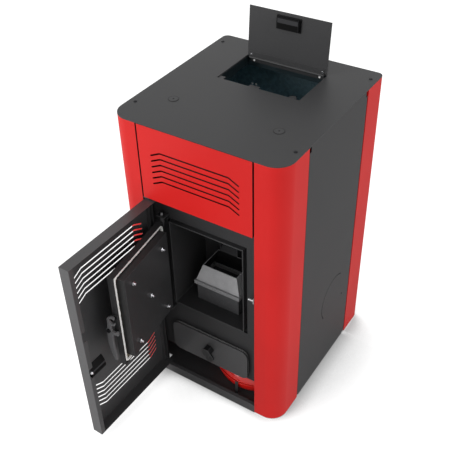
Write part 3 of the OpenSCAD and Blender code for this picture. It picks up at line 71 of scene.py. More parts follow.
# Distances within which vertices are joined, in millimetres
CAD_MERGE = 0.004
TURNED_MERGE = 0.002
ROPE_MERGE = 0.01
# Largest angle of a flat, and smallest angle of a sharp edge
FLAT_ANGLE = math.radians(0.6)
SHARP_ANGLE = math.radians(28)
# Numbers of the axes, and the directions that pieces grow in
X, Y, Z = range(3)
BACK = Vector((0, 1, 0))
UP = Vector((0, 0, 1))
# A place past the back of the boiler, in metres
FAR = 1.0
WHITE = (1.0, 1.0, 1.0)

log = logging.getLogger("boiler")

Triple = tuple[float, float, float]
Colour = Triple
Band = tuple[float, float]
Material = bpy.types.Material


def srgb(red: float, green: float, blue: float) -> Colour:
    """Linear colour, from 0 to 1, of a display colour whose parts run from 0 to 255."""
    parts = [value / 255 for value in (red, green, blue)]
    return tuple(p / 12.92 if p <= 0.04045 else ((p + 0.055) / 1.055) ** 2.4 for p in parts)


def scaled(colour: Colour, share: float, lift: float = 0.0) -> Colour:
    """A colour made lighter or darker by a share, and then lifted evenly."""
    return tuple(part * share + lift for part in colour)


def placed(name: str, data: bpy.types.ID) -> bpy.types.Object:
    """A new object of the scene."""
    made = bpy.data.objects.new(name, data)
    bpy.context.scene.collection.objects.link(made)
    return made


class Wire:
    """A value that runs between nodes, with Python's operators as Math nodes."""

    def __init__(self, graph: "Graph", socket: bpy.types.NodeSocket) -> None:
        """Keeps the socket that the value comes from."""
        self.graph = graph
        self.socket = socket

    def maths(self, operation: str, *others: "Wire | float") -> "Wire":
        """This value and any others through one Math node."""
        return self.graph.node("Math", dict(enumerate((self, *others))), operation=operation)

    def __rsub__(self, other: float) -> "Wire":
        """Difference from a number."""
        return self.maths("MULTIPLY_ADD", -1.0, other)

    __add__ = __radd__ = partialmethod(maths, "ADD")
    __sub__ = partialmethod(maths, "SUBTRACT")
    __mul__ = __rmul__ = partialmethod(maths, "MULTIPLY")
    __pow__ = partialmethod(maths, "POWER")

    def above(self, low: float, high: float) -> "Wire":
        """0 below the low value and 1 above the high one, with a smooth step between."""
        return self.graph.node("MapRange", {0: self, 1: low, 2: high}, interpolation_type="SMOOTHSTEP")


class Graph:
    """A node tree that starts empty."""

    def __init__(self, tree: bpy.types.NodeTree) -> None:
        """Empties the tree."""
        self.tree = tree
        self.tree.nodes.clear()

    def node(self, kind: str, sockets: dict | None = None, output: int | str = 0,
             **settings: str | int) -> Wire:
        """Makes any shader node.

        Args:
            kind: Blender's name of the node type, without ShaderNode.
            sockets: Values or wires of its sockets.
            output: Which output to give back.
            settings: Properties of the node, which are set first.

        Returns:
            The wire from that output.
        """
        made = self.tree.nodes.new("ShaderNode" + kind)
        for key, value in settings.items():
            setattr(made, key, value)
        for key, value in (sockets or {}).items():
            self.feed(made.inputs[key], value)
        return Wire(self, made.outputs[output])

    def feed(self, socket: bpy.types.NodeSocket, value: Wire | float | Sequence[float]) -> None:
        """Puts a value or a wire into a socket."""
        if isinstance(value, Wire):
            self.tree.links.new(value.socket, socket)
        elif isinstance(value, tuple) and len(value) == 3 and socket.type == "RGBA":
            socket.default_value = (*value, 1)
        else:
            socket.default_value = value


class Recipe(Graph):
    """Node tree of one material."""

    def __init__(self, name: str) -> None:
        """Starts a material with its output and its main shader."""
        self.material = bpy.data.materials.new(name)
        self.material.use_nodes = True
        super().__init__(self.material.node_tree)
        self.shader = self.tree.nodes.new("ShaderNodeBsdfPrincipled")
        self.output = self.tree.nodes.new("ShaderNodeOutputMaterial")
        self.tree.links.new(self.shader.outputs[0], self.output.inputs["Surface"])

    def place(self) -> Wire:
        """Place on the object, in metres."""
        return self.node("TexCoord", output="Object")

    def axis(self, number: int) -> Wire:
        """Place along X, Y or Z, in metres."""
        return self.node("SeparateXYZ", {0: self.place()}, number)

    def stretched(self, x: float, y: float, z: float) -> Wire:
        """Place with its axes scaled, for brushed and drawn patterns."""
        return self.node("Mapping", {"Vector": self.place(), "Scale": (x, y, z)})

    def rope_place(self, number: int) -> Wire:
        """Place along a rope, in metres, or round it, from 0 to 1."""
        uv = self.node("UVMap", uv_map=ROPE_MAP)
        return self.node("SeparateXYZ", {0: uv}, number)

    def mark(self, name: str) -> Wire:
        """Value of a face attribute: 1 on the faces that carry the mark and 0 elsewhere."""
        return self.node("Attribute", output="Fac", attribute_name=name)

    def cloud(self, scale: float, detail: float = 2, rough: float = 0.5, place: Wire | None = None) -> Wire:
        """Soft noise from 0 to 1, by its patches in a metre, its octaves and the finer octaves' weight."""
        return self.node("TexNoise", {"Vector": place or self.place(), "Scale": scale, "Detail": detail,
                                      "Roughness": rough})

    def cells(self, scale: float, place: Wire | None = None, output: str = "Distance") -> Wire:
        """Cell pattern, for grains and spangles."""
        return self.node("TexVoronoi", {"Vector": place or self.place(), "Scale": scale}, output)

    def mix(self, share: Wire | float, first: Wire | Colour, second: Wire | Colour) -> Wire:
        """Colour between two colours."""
        return self.node("Mix", {0: share, 6: first, 7: second}, 2, data_type="RGBA")

    def within(self, number: int, low: float, high: float, blur: float = 0.0002) -> Wire:
        """1 where the place along an axis lies between two values, in metres."""
        along = self.axis(number)
        return along.above(low - blur, low + blur) * (1 - along.above(high - blur, high + blur))

    def varied(self, mean: float, *swings: tuple[Wire, float]) -> Wire:
        """A value that patterns move about its mean, each by its own swing from end to end."""
        value = mean - sum(swing for _, swing in swings) / 2
        for pattern, swing in swings:
            value = pattern * swing + value
        return value

    def surface(self, colour: Wire | Colour, rough: Wire | float, height: Wire | None = None,
                relief: float = 0.1, depth: float = 0.001, metallic: Wire | float = 0.0,
                **fixed: float) -> Material:
        """Wires the main shader.

        Args:
            colour: Base colour.
            rough: Roughness.
            height: Height pattern for the bump.
            relief: Strength of the bump.
            depth: Depth of the bump in metres.
            metallic: Share of metal.
            fixed: Other sockets of the shader, with spaces as underscores.

        Returns:
            The material.
        """
        inputs = self.shader.inputs
        for name, value in (("Base Color", colour), ("Roughness", rough), ("Metallic", metallic)):
            self.feed(inputs[name], value)
        for name, value in fixed.items():
            self.feed(inputs[name.replace("_", " ").title().replace("Ior", "IOR")], value)
        if height is not None:
            bump = self.node("Bump", {"Strength": relief, "Distance": depth, "Height": height})
            self.feed(inputs["Normal"], bump)
        return self.material


@dataclass(frozen=True)
class Finish:
    """A surface that pieces are given. Each finish makes its material once."""

    name: str
    colour: Colour

    def cook(self, recipe: Recipe) -> Material:
        """Wires the material."""
        raise NotImplementedError

    @cache
    def material(self) -> Material:
        """The finish's material, made at its first use."""
        return self.cook(Recipe(self.name))


@dataclass(frozen=True)
class SatinPaint(Finish):
    """Smooth powder coat with a fine orange peel, for the coloured panels.

    The walls of the door recess are painted dark: painted shade in the recess, partly standing for a dark coat on
    those walls.
    """

    edge: Colour
    rough: float = 0.42
    coat: float = 0.0
    peel: float = 420.0
    gloss: float = 0.2
    recess_shade: Colour | None = None
    recess_shade_x: float = 0.2062
    recess_shade_y: float = -0.3193
    recess_shade_blur: float = 0.0001
    drift: Triple = (3.2, 3, 0.5)
    drifts: Band = (0.3, 0.75)
    faded: float = 0.93
    # Share of the paler edge colour on rounded edges: wear, and partly a painted highlight
    worn_and_lit_edge: float = 0.35
    peel_swing: float = 0.05
    drift_swing: float = 0.04
    coat_rough: float = 0.16
    relief: float = 0.1
    depth: float = 0.0004

    def cook(self, recipe: Recipe) -> Material:
        """Wires the paint: a slow drift of tone, an orange peel, paler edges of wear and partly painted highlight,
        and painted shade on the recess walls.
        """
        drift = recipe.cloud(*self.drift)
        peel = recipe.cloud(self.peel, rough=0.45)
        tone = recipe.mix(drift.above(*self.drifts), self.colour, scaled(self.colour, self.faded))
        body = recipe.mix(recipe.mark(EDGE_MARK) * self.worn_and_lit_edge, tone, self.edge)
        # Painted shade: between the columns and behind the front, the recess walls take the dark colour
        if self.recess_shade:
            inner = recipe.within(X, -self.recess_shade_x, self.recess_shade_x)
            body = recipe.mix(inner * recipe.within(Y, self.recess_shade_y, FAR, self.recess_shade_blur), body, self.recess_shade)
        rough = recipe.varied(self.rough, (peel, self.peel_swing), (drift, self.drift_swing))
        return recipe.surface(body, rough, peel, self.relief, self.depth, coat_weight=self.coat,
                              coat_roughness=self.coat_rough, specular_ior_level=self.gloss)


@dataclass(frozen=True)
class GrainPaint(Finish):
    """Textured powder coat, for the dark sheet metal. A painted highlight in the edge colour may lie on one band
    along an axis.
    """

    edge: Colour
    rough: float = 0.5
    grain: float = 1100.0
    relief: float = 0.22
    smudge: float = 0.05
    gloss: float = 0.28
    painted_sheen: tuple[int, float, float] | None = None
    painted_sheen_share: float = 0.17
    drift: Triple = (4.5, 4, 0.55)
    drifts: Band = (0.35, 0.8)
    drift_share: float = 0.5
    grains: Band = (0.36, 0.68)
    light: Band = (1.22, 0.002)
    deep: float = 0.84
    # Share of the paler edge colour on rounded edges: wear, and partly a painted highlight
    worn_and_lit_edge: float = 0.45
    grain_swing: float = 0.08
    depth: float = 0.0004

    def cook(self, recipe: Recipe) -> Material:
        """Wires the paint: fine grains that catch the light, faint smudges, paler edges of wear and partly painted
        highlight, and the painted highlight band.
        """
        fine = recipe.cloud(self.grain, rough=0.6)
        drift = recipe.cloud(*self.drift)
        light = scaled(self.colour, *self.light)
        grained = recipe.mix(fine.above(*self.grains), scaled(self.colour, self.deep), light)
        drifted = recipe.mix(drift.above(*self.drifts) * self.drift_share, grained, light)
        body = recipe.mix(recipe.mark(EDGE_MARK) * self.worn_and_lit_edge, drifted, self.edge)
        # Painted highlight: a band along one axis turns toward the edge colour
        if self.painted_sheen:
            body = recipe.mix(recipe.within(*self.painted_sheen) * self.painted_sheen_share, body, self.edge)
        rough = recipe.varied(self.rough, (drift, 2 * self.smudge), (fine, self.grain_swing))
        return recipe.surface(body, rough, fine, self.relief, self.depth, specular_ior_level=self.gloss)


@dataclass(frozen=True)
class DiscPaint(GrainPaint):
    """Textured powder coat of the blanking discs, with a painted shadow line at its seat and painted shade round
    its hole.
    """

    centre_x: float = 0.185
    centre_y: float = -0.151
    seat: Band = (0.0146, 0.0152)
    hole: Band = (0.0029, 0.0035)
    dark: float = 0.16

    def cook(self, recipe: Recipe) -> Material:
        """Wires the paint and darkens it at the rim and round the hole, as painted shadow and painted shade."""
        across = recipe.axis(X)
        dx = across.maths("ABSOLUTE") - self.centre_x
        dy = recipe.axis(Y) - self.centre_y
        far = (dx * dx + dy * dy) ** 0.5
        fine = recipe.cloud(self.grain, rough=0.6)
        body = recipe.mix(fine.above(*self.grains), self.colour, self.edge)
        # Painted shadow at the seat and painted shade round the hole
        lines = far.above(*self.seat) + (1 - far.above(*self.hole))
        return recipe.surface(recipe.mix(lines, body, scaled(self.colour, self.dark)),
                              recipe.varied(self.rough, (fine, self.grain_swing)), fine, self.relief,
                              self.depth, specular_ior_level=self.gloss)


@dataclass(frozen=True)
class WorkedMetal(Finish):
    """Bare metal with drawn or rolled marks along one direction."""

    shade: Colour
    rough: float = 0.28
    along: Triple = (60, 900, 60)
    stain: float = 0.25
    cloud: Triple = (38, 4, 0.6)
    stains: Band = (0.42, 0.8)
    line_swing: float = 0.16
    stain_swing: float = 0.12
    relief: float = 0.12
    depth: float = 0.0002
    metal: float = 0.92

    def cook(self, recipe: Recipe) -> Material:
        """Wires the metal: fine drawn lines and a cloudy stain."""
        lines = recipe.cloud(1.0, 3, 0.6, recipe.stretched(*self.along))
        stain = recipe.cloud(*self.cloud)
        body = recipe.mix(stain.above(*self.stains) * self.stain, self.colour, self.shade)
        rough = recipe.varied(self.rough, (lines, self.line_swing), (stain, self.stain_swing))
        return recipe.surface(body, rough, lines, self.relief, self.depth, self.metal)


@dataclass(frozen=True)
class Galvanised(Finish):
    """Zinc coated sheet with its spangle, darker near the hopper's mouth as painted shade."""

    dull: Colour
    rough: float = 0.415
    spangle: float = 95.0
    bend: float = 0.006
    bend_scale: float = 130.0
    film: Triple = (9, 4, 0.6)
    film_share: float = 0.3
    crystal_share: float = 0.45
    crystal_swing: float = 0.2
    film_swing: float = 0.15
    mouth_shade_z: Band = (0.96, 1.05)
    mouth_shade_share: float = 0.85
    mouth: float = 0.08
    dents: float = 260
    relief: float = 0.05
    depth: float = 0.0003
    metal: float = 0.85

    def cook(self, recipe: Recipe) -> Material:
        """Wires the zinc: flat crystals of several tones, a dusty film and painted shade near the mouth."""
        stir = recipe.node("TexNoise", {"Scale": self.bend_scale, "Detail": 2.0}, "Color")
        bent = recipe.node("VectorMath", {0: stir, 1: (self.bend,) * 3, 2: recipe.place()},
                           operation="MULTIPLY_ADD")
        crystal = recipe.cells(self.spangle, bent, "Color")
        tone = recipe.node("SeparateColor", {"Color": crystal})
        film = recipe.cloud(*self.film)
        share = tone.above(0.0, 1.0) * self.crystal_share + film * self.film_share
        dusty = recipe.mix(share, self.colour, self.dull)
        # Painted shade: the walls darken toward the top of the bin
        inside = recipe.axis(Z).above(*self.mouth_shade_z) * self.mouth_shade_share
        body = recipe.mix(inside, dusty, scaled(self.dull, self.mouth))
        rough = recipe.varied(self.rough, (tone, self.crystal_swing), (film, self.film_swing))
        return recipe.surface(body, rough, recipe.cloud(self.dents), self.relief, self.depth, self.metal)


@dataclass(frozen=True)
class Casting(Finish):
    """Cast iron or heat resistant paint over a sandy surface."""

    fleck: Colour
    rough: float = 0.63
    sand: float = 520.0
    relief: float = 0.5
    metal: float = 0.3
    soot_and_shade: Colour | None = None
    rim: Band | None = None
    drift: Triple = (16, 4, 0.6)
    drifts: Band = (0.35, 0.75)
    drift_share: float = 0.4
    sooty: float = 0.6
    fleck_size: float = 0.9
    flecks: Band = (0.1, 0.28)
    fleck_sand: Band = (0.45, 0.62)
    rim_sand: Band = (0.2, 0.6)
    # Share of the pale fleck colour on rounded edges: wear, and partly a painted highlight
    worn_and_lit_edge: float = 0.4
    sand_swing: float = 0.22
    depth: float = 0.0006

    def cook(self, recipe: Recipe) -> Material:
        """Wires the casting: sand, pale flecks, a sooty drift, pale edges and rim band (wear and painted
        highlight), and sooty painted shade on faces that don't look up.
        """
        sand = recipe.cloud(self.sand, detail=4, rough=0.62)
        fleck = recipe.cells(self.sand * self.fleck_size)
        drift = recipe.cloud(*self.drift)
        sooty = recipe.mix(drift.above(*self.drifts) * self.drift_share, self.colour,
                           scaled(self.colour, self.sooty))
        flecked = recipe.mix((1 - fleck.above(*self.flecks)) * sand.above(*self.fleck_sand), sooty, self.fleck)
        body = recipe.mix(recipe.mark(EDGE_MARK) * self.worn_and_lit_edge, flecked, self.fleck)
        # A paler band round the rim: wear, and partly a painted highlight
        if self.rim:
            body = recipe.mix(recipe.within(Z, *self.rim) * sand.above(*self.rim_sand), body, self.fleck)
        # Faces that don't look up take the dark colour: soot, and painted shade
        if self.soot_and_shade:
            body = recipe.mix(recipe.mark(UNDER_MARK), body, self.soot_and_shade)
        rough = recipe.varied(self.rough, (sand, self.sand_swing))
        return recipe.surface(body, rough, sand, self.relief, self.depth, self.metal)


@dataclass(frozen=True)
class Moulded(Finish):
    """Moulded plastic with a spark-eroded grain."""

    rough: float = 0.43
    grain: float = 1500.0
    gloss: float = 0.1
    touch: Triple = (22, 3, 0.5)
    grains: Band = (0.1, 0.7)
    grain_share: float = 0.5
    light: Band = (1.5, 0.002)
    touch_swing: float = 0.16
    grain_swing: float = 0.06
    relief: float = 0.16
    depth: float = 0.0002

    def cook(self, recipe: Recipe) -> Material:
        """Wires the plastic: a tight grain with slightly polished patches."""
        grain = recipe.cells(self.grain)
        touch = recipe.cloud(*self.touch)
        body = recipe.mix(grain.above(*self.grains) * self.grain_share, self.colour,
                          scaled(self.colour, *self.light))
        rough = recipe.varied(self.rough, (touch, self.touch_swing), (grain, self.grain_swing))
        return recipe.surface(self.detail(recipe, body), rough, grain, self.relief, self.depth,
                              specular_ior_level=self.gloss)

    def detail(self, recipe: Recipe, body: Wire) -> Wire:
        """What a single moulding adds to its colour."""
        return body


@dataclass(frozen=True)
class PullPlastic(Moulded):
    """Moulded plastic of a pull, with a paler pad over a dark band painted as a slot's shade, in a black frame."""

    pad: Colour = WHITE
    half: float = 0.0365
    pad_z: Band = (1.2085, 1.2225)
    slot_shade_z: Band = (1.1900, 1.2070)
    deep: float = 0.2

    def detail(self, recipe: Recipe, body: Wire) -> Wire:
        """Paints the pad and the dark band of painted shade."""
        across = recipe.within(X, -self.half, self.half)
        padded = recipe.mix(across * recipe.within(Z, *self.pad_z), body, self.pad)
        # Painted shade: the dark band stands for the shade in a slot
        return recipe.mix(across * recipe.within(Z, *self.slot_shade_z), padded, scaled(self.colour, self.deep))


@dataclass(frozen=True)
class Board(Finish):
    """Pressed mineral fibre board."""

    fibre: Colour
    rough: float = 0.92
    along: Triple = (420, 160, 420)
    fibres: Band = (0.4, 0.68)
    relief: float = 0.5
    depth: float = 0.001

    def cook(self, recipe: Recipe) -> Material:
        """Wires the board: short pale fibres in a dull ground."""
        fibres = recipe.cloud(1.0, 4, 0.7, recipe.stretched(*self.along))
        body = recipe.mix(fibres.above(*self.fibres), self.colour, self.fibre)
        return recipe.surface(body, self.rough, fibres, self.relief, self.depth)


@dataclass(frozen=True)
class Braid(Finish):
    """Braided glass rope, whose plaits follow the rope's own length and round."""

    gap_shade: Colour
    plaits: float = 330.0
    starts: float = 6.0
    relief: float = 0.9
    soil: float = 0.72
    strands: Band = (0.25, 0.8)
    soils: Band = (0.4, 0.75)
    soil_cloud: Triple = (30, 3, 0.5)
    soil_share: float = 0.35
    fluff: Triple = (700, 3, 0.7)
    fluff_share: float = 0.6
    fluff_swing: float = 0.1
    rough: float = 0.87
    depth: float = 0.0008

    def cook(self, recipe: Recipe) -> Material:
        """Wires the braid from two crossing sets of strands, with painted shade between them, and some loose
        fluff.
        """
        along = recipe.rope_place(X) * (self.plaits * math.tau)
        around = recipe.rope_place(Y) * (self.starts * math.tau)
        right = (along + around).maths("SINE")
        left = (along - around).maths("SINE")
        strands = right.maths("MAXIMUM", left) * 0.5 + 0.5
        fluff = recipe.cloud(*self.fluff)
        soiled = recipe.cloud(*self.soil_cloud).above(*self.soils)
        # Painted shade: between the strands the rope takes the darker colour
        tone = recipe.mix(strands.above(*self.strands), self.gap_shade, self.colour)
        body = recipe.mix(soiled * self.soil_share, tone, scaled(self.colour, self.soil))
        rough = recipe.varied(self.rough, (fluff, self.fluff_swing))
        return recipe.surface(body, rough, strands + fluff * self.fluff_share, self.relief, self.depth)


class Slot(Enum):
    """Material slots of the record, each with the finish that shows it."""

    # The dark colour of the red paint is painted shade on the walls of the door recess
    RED = SatinPaint("red_paint", srgb(218, 34, 32), srgb(232, 88, 82), recess_shade=srgb(40, 40, 41))
    GREY = GrainPaint("grey_paint", srgb(55, 55, 56), srgb(112, 112, 114), 0.46)
    DARK = GrainPaint("dark_paint", srgb(51, 51, 52), srgb(104, 104, 106), 0.42, 900.0, 0.14)
    VESSEL = SatinPaint("vessel_red", srgb(250, 34, 28), srgb(255, 110, 96), 0.22, 0.5, 260.0, 0.4)
    BRIGHT = WorkedMetal("bright_steel", srgb(214, 214, 218), srgb(150, 150, 156), 0.2)
    BOILER = GrainPaint("boiler_steel", srgb(58, 58, 60), srgb(96, 96, 98), 0.58, 600.0, 0.3)
    CAST = Casting("cast_iron", srgb(90, 90, 92), srgb(164, 164, 166))
    ZINC = Galvanised("galvanised", srgb(148, 174, 182), srgb(92, 116, 126))
    BLACK = WorkedMetal("black_steel", srgb(44, 44, 46), srgb(24, 24, 26), 0.42, (300, 300, 300), 0.5)
    PLASTIC = Moulded("black_plastic", srgb(15, 15, 16))
    MOTOR = Moulded("motor_case", srgb(70, 72, 76), 0.37, 700.0)
    WHITE_ROPE = Braid("white_rope", srgb(255, 255, 252), srgb(212, 212, 208), relief=0.5, soil=0.88)
    DARK_ROPE = Braid("dark_rope", srgb(150, 150, 150), srgb(16, 16, 16), 150.0, 3.0, 0.7)
    BOARD = Board("insulation", srgb(120, 112, 96), srgb(176, 168, 150))
    BRASS = WorkedMetal("brass", srgb(196, 160, 92), srgb(120, 92, 50), 0.3)


SLOTS = {slot.value.name: slot for slot in Slot}


class Look(Enum):
    """Finishes of single pieces that differ from the rest of their slot."""

    LEVER = Casting("lever_grey", srgb(94, 94, 96), srgb(140, 140, 142), 0.51, 700.0, 0.25, 0.0)
    HANDLE = Casting("handle_black", srgb(22, 22, 23), srgb(120, 120, 122), 0.31, 700.0, 0.22, 0.0)
    # The hood's faces that don't look up are painted dark, as soot and painted shade
    HOOD = Casting("hood_enamel", srgb(204, 204, 206), srgb(242, 242, 244), 0.51, 430.0, 0.3, 0.0,
                   srgb(26, 26, 27))
    # The pot's rim band is painted paler, partly as a painted highlight
    POT = Casting("pot_iron", srgb(90, 90, 92), srgb(176, 176, 178), rim=(0.4165, 0.432))
    # The lid pull's dark band is painted shade of a slot
    PULL = PullPlastic("lid_pull_plastic", srgb(14, 14, 15), pad=srgb(58, 58, 60))
    # The door pull's paler pad is a painted highlight on its lit face, and its dark band a painted shadow under it
    GRIP = PullPlastic("door_pull_plastic", srgb(13, 13, 14), pad=srgb(60, 60, 62), half=FAR,
                       pad_z=(0.3205, 0.3270), slot_shade_z=(0.3060, 0.3200))
    # A lighter copy of the dark paint for the base tray: painted light for the light that the casing keeps off it
    SILL_LIGHTENED = GrainPaint("sill_paint_lightened", srgb(70, 70, 71), srgb(124, 124, 126), 0.42, 900.0, 0.14)
    # White heads that aren't metal: painted highlight for the glint of bright screws in the hopper
    GLINT_HEAD = GrainPaint("head_painted_glint", srgb(250, 250, 250), srgb(255, 255, 255), 0.3, 900.0, 0.05, gloss=0.5)
    # Outer door tray: paler than the dark paint, with a painted highlight band on the fold of its free edge
    DOOR = GrainPaint("door_paint", srgb(62, 62, 63), srgb(128, 128, 130), 0.36, 900.0, 0.14, 0.05, 0.5,
                      (Y, -0.71, -0.7035))
    DRAWER = GrainPaint("drawer_paint", srgb(72, 72, 73), srgb(124, 124, 126), 0.4, 900.0, 0.14, 0.05, 0.4)
    DISC = DiscPaint("disc_paint", srgb(58, 58, 59), srgb(70, 70, 71), 0.54)
    PIN = WorkedMetal("dull_steel", srgb(190, 190, 192), srgb(110, 110, 112), 0.42)


class Shape:
    """A mesh in the making, in millimetres."""

    def __init__(self) -> None:
        """Starts with nothing."""
        self.bm = bmesh.new()

    @classmethod
    def of_node(cls, node: str) -> "Shape":
        """A copy of a CAD node with its loose triangles joined and its flats made whole.

        Args:
            node: Name of the CAD node.

        Returns:
            The copy, in millimetres.
        """
        shape = cls()
        bm = shape.bm
        bm.from_mesh(frame["nodes"][node].data)
        bm.transform(Matrix.Scale(1 / MM, 4))
        bmesh.ops.remove_doubles(bm, verts=bm.verts, dist=CAD_MERGE)
        bmesh.ops.dissolve_limit(bm, angle_limit=FLAT_ANGLE, verts=bm.verts, edges=bm.edges)
        return shape

    def turned(self, profile: Sequence[Band], base: Vector, axis: Vector, steps: int) -> None:
        """A turned piece.

        Args:
            profile: Radius and distance along the axis, from one end to the other.
            base: Start of the axis.
            axis: Direction of the axis.
            steps: Facets round the axis.
        """
        side = axis.orthogonal().normalized()
        old = set(self.bm.verts)
        line = [self.bm.verts.new(base + side * r + axis * h) for r, h in profile]
        edges = [self.bm.edges.new(pair) for pair in zip(line, line[1:])]
        bmesh.ops.spin(self.bm, geom=line + edges, cent=base, axis=axis, angle=math.tau, steps=steps,
                       use_merge=True)
        fresh = [v for v in self.bm.verts if v not in old]
        bmesh.ops.remove_doubles(self.bm, verts=fresh, dist=TURNED_MERGE)
        faces = {f for v in fresh if v.is_valid for f in v.link_faces}
        bmesh.ops.recalc_face_normals(self.bm, faces=list(faces))

    def hexagon(self, centre: Vector, axis: Vector, radius: float, length: float, chamfer: float = 0.0,
                turn: float = 0.0) -> None:
        """A bar with six sides.

        Args:
            centre: Middle of its first end.
            axis: Direction in which it grows.
            radius: Radius to the corners.
            length: Length along the axis.
            chamfer: Width of the chamfer round both ends.
            turn: Angle about the axis, in degrees.
        """
        seat = Matrix.Translation(centre + axis * (length / 2))
        way = axis.to_track_quat("Z", "Y").to_matrix().to_4x4() @ Matrix.Rotation(math.radians(turn), 4, "Z")
        verts = bmesh.ops.create_cone(self.bm, cap_ends=True, segments=6, radius1=radius, radius2=radius,
                                      depth=length, matrix=seat @ way)["verts"]
        if chamfer:
            faces = {f for v in verts for f in v.link_faces}
            ends = {e for f in faces if abs(f.normal.dot(axis)) > END_LIMIT for e in f.edges}
            bmesh.ops.bevel(self.bm, geom=list(ends), offset=chamfer, offset_type="OFFSET", segments=1,
                            profile=0.5, affect="EDGES", material=-1)

    def rope(self, stops: Sequence[Vector], up: Vector, radius: Callable[[float], float], spread: float,
             sides: int = 12) -> None:
        """A soft tube along a closed path, with the lay written into its own UV map.

        Args:
            stops: Points of its middle line.
            up: Direction across the path's plane.
            radius: Radius at a share of the length.
            spread: Width in the path's plane over the width across it.
            sides: Facets round the tube.
        """
        lay = self.bm.loops.layers.uv.new(ROPE_MAP)
        ring = bmesh.ops.create_circle(self.bm, radius=1, segments=sides)["verts"]
        spot = {vert: (0, j) for j, vert in enumerate(ring)}
        places, length = [], [0.0]
        for i, point in enumerate(stops):
            ahead = stops[(i + 1) % len(stops)]
            way = (ahead - stops[i - 1]).normalized()
            across = up.cross(way).normalized()
            turn = Matrix((across, way.cross(across), way)).transposed().to_4x4()
            size = radius(i / len(stops))
            places.append(Matrix.Translation(point) @ turn @ Matrix.Diagonal((size * spread, size, size, 1)))
            length.append(length[-1] + (ahead - point).length)
        bmesh.ops.transform(self.bm, matrix=places[0], verts=ring)
        edges = self.bm.edges[:]
        places.append(places[0])
        for i in range(1, len(places)):
            made = bmesh.ops.extrude_edge_only(self.bm, edges=edges)["geom"]
            fresh = [g for g in made if isinstance(g, bmesh.types.BMVert)]
            for vert in fresh:
                near = min(ring, key=lambda old: (old.co - vert.co).length_squared)
                spot[vert] = (i, spot[near][1])
            bmesh.ops.transform(self.bm, matrix=places[i] @ places[i - 1].inverted(), verts=fresh)
            edges = [g for g in made if isinstance(g, bmesh.types.BMEdge)
                     and all(spot[v][0] == i for v in g.verts)]
            ring = fresh
        for face in self.bm.faces:
            around = [spot[loop.vert][1] for loop in face.loops]
            for loop in face.loops:
                i, j = spot[loop.vert]
                wrapped = j + sides if max(around) - min(around) > 1 and j == 0 else j
                loop[lay].uv = (length[i] * MM, wrapped / sides)
        bmesh.ops.remove_doubles(self.bm, verts=list(self.bm.verts), dist=ROPE_MERGE)
        bmesh.ops.recalc_face_normals(self.bm, faces=list(self.bm.faces))

    def roughen(self, size: float, depth: float) -> None:
        """Moves each vertex along its normal by a soft noise of the given grain and depth."""
        self.bm.normal_update()
        for vert in self.bm.verts:
            vert.co += vert.normal * (depth * noise.noise(vert.co / size))

    def soften(self, radius: float, segments: int) -> "Shape":
        """Rounds the sharp edges, and marks them and the faces that don't look up.

        Args:
            radius: Width of the rounding.
            segments: Facets across it.

        Returns:
            The shape itself.
        """
        layers = self.bm.faces.layers.float
        for name in (EDGE_MARK, UNDER_MARK):
            layers.new(name)
        mark, under = layers[EDGE_MARK], layers[UNDER_MARK]
        sharp = [e for e in self.bm.edges if e.is_manifold and e.calc_face_angle(0) > SHARP_ANGLE]
        if sharp:
            made = bmesh.ops.bevel(self.bm, geom=sharp, offset=radius, offset_type="OFFSET", segments=segments,
                                   profile=0.5, affect="EDGES", clamp_overlap=True, material=-1)
            for face in made["faces"]:
                face[mark] = 1.0
        self.bm.normal_update()
        for face in self.bm.faces:
            face[under] = float(face.normal.z < UNDER_LIMIT)
        return self

    def finish(self, name: str, body: str, slot: Slot, swing: Matrix | None = None,
               replaces: Sequence[str] = (), smooth: float = 38.0, look: Look | None = None) -> None:
        """Makes the object, gives it its finish, and puts it on its body.

        Args:
            name: Name of the piece.
            body: Body that it rides on.
            slot: Its slot and finish.
            swing: Turn from its shut place to its place at rest.
            replaces: CAD nodes that it stands for.
            smooth: Largest angle that is shaded smooth, in degrees.
            look: Finish that it has in place of its slot's.
        """
        mesh = bpy.data.meshes.new(name)
        if swing is not None:
            self.bm.transform(swing)
        self.bm.transform(Matrix.Scale(MM, 4))
        for face in self.bm.faces:
            face.smooth = True
        self.bm.to_mesh(mesh)
        self.bm.free()
        mesh.set_sharp_from_angle(angle=math.radians(smooth))
        mesh.materials.append((look or slot).value.material())
        piece = placed(name, mesh)
        weights = piece.modifiers.new("weights", "WEIGHTED_NORMAL")
        weights.keep_sharp = True
        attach(piece, body)
        if replaces:
            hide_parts(*replaces)
        log.info("%s on %s", name, body)


def swung(joint: str) -> Matrix:
    """Turn from the shut place to rest, for a joint whose last angle shuts it.

    Args:
        joint: Name of the joint.

    Returns:
        The matrix, in millimetres.
    """
    facts = next(j for j in frame["joints"] if j["name"] == joint)
    pivot = Matrix.Translation(Vector(facts["pos_m"]) / MM)
    turn = Matrix.Rotation(-math.radians(facts["range_deg"][1]), 4, Vector(facts["axis"]))
    return pivot @ turn @ pivot.inverted()


@dataclass(frozen=True)
class Copy:
    """A CAD node that is shown by a copy of itself with rounded edges."""

    node: str
    radius: float = 0.4
    segments: int = 2
    look: Look | None = None
    smooth: float = 50.0

    def build(self) -> None:
        """Makes the copy and dresses it."""
        shape = Shape.of_node(self.node).soften(self.radius, self.segments)
        shape.finish(self.node + "_shape", BODY_OF[self.node], SLOTS[SLOT_OF[self.node]],
                     replaces=[self.node], smooth=self.smooth, look=self.look)


Copies = Sequence[Copy]


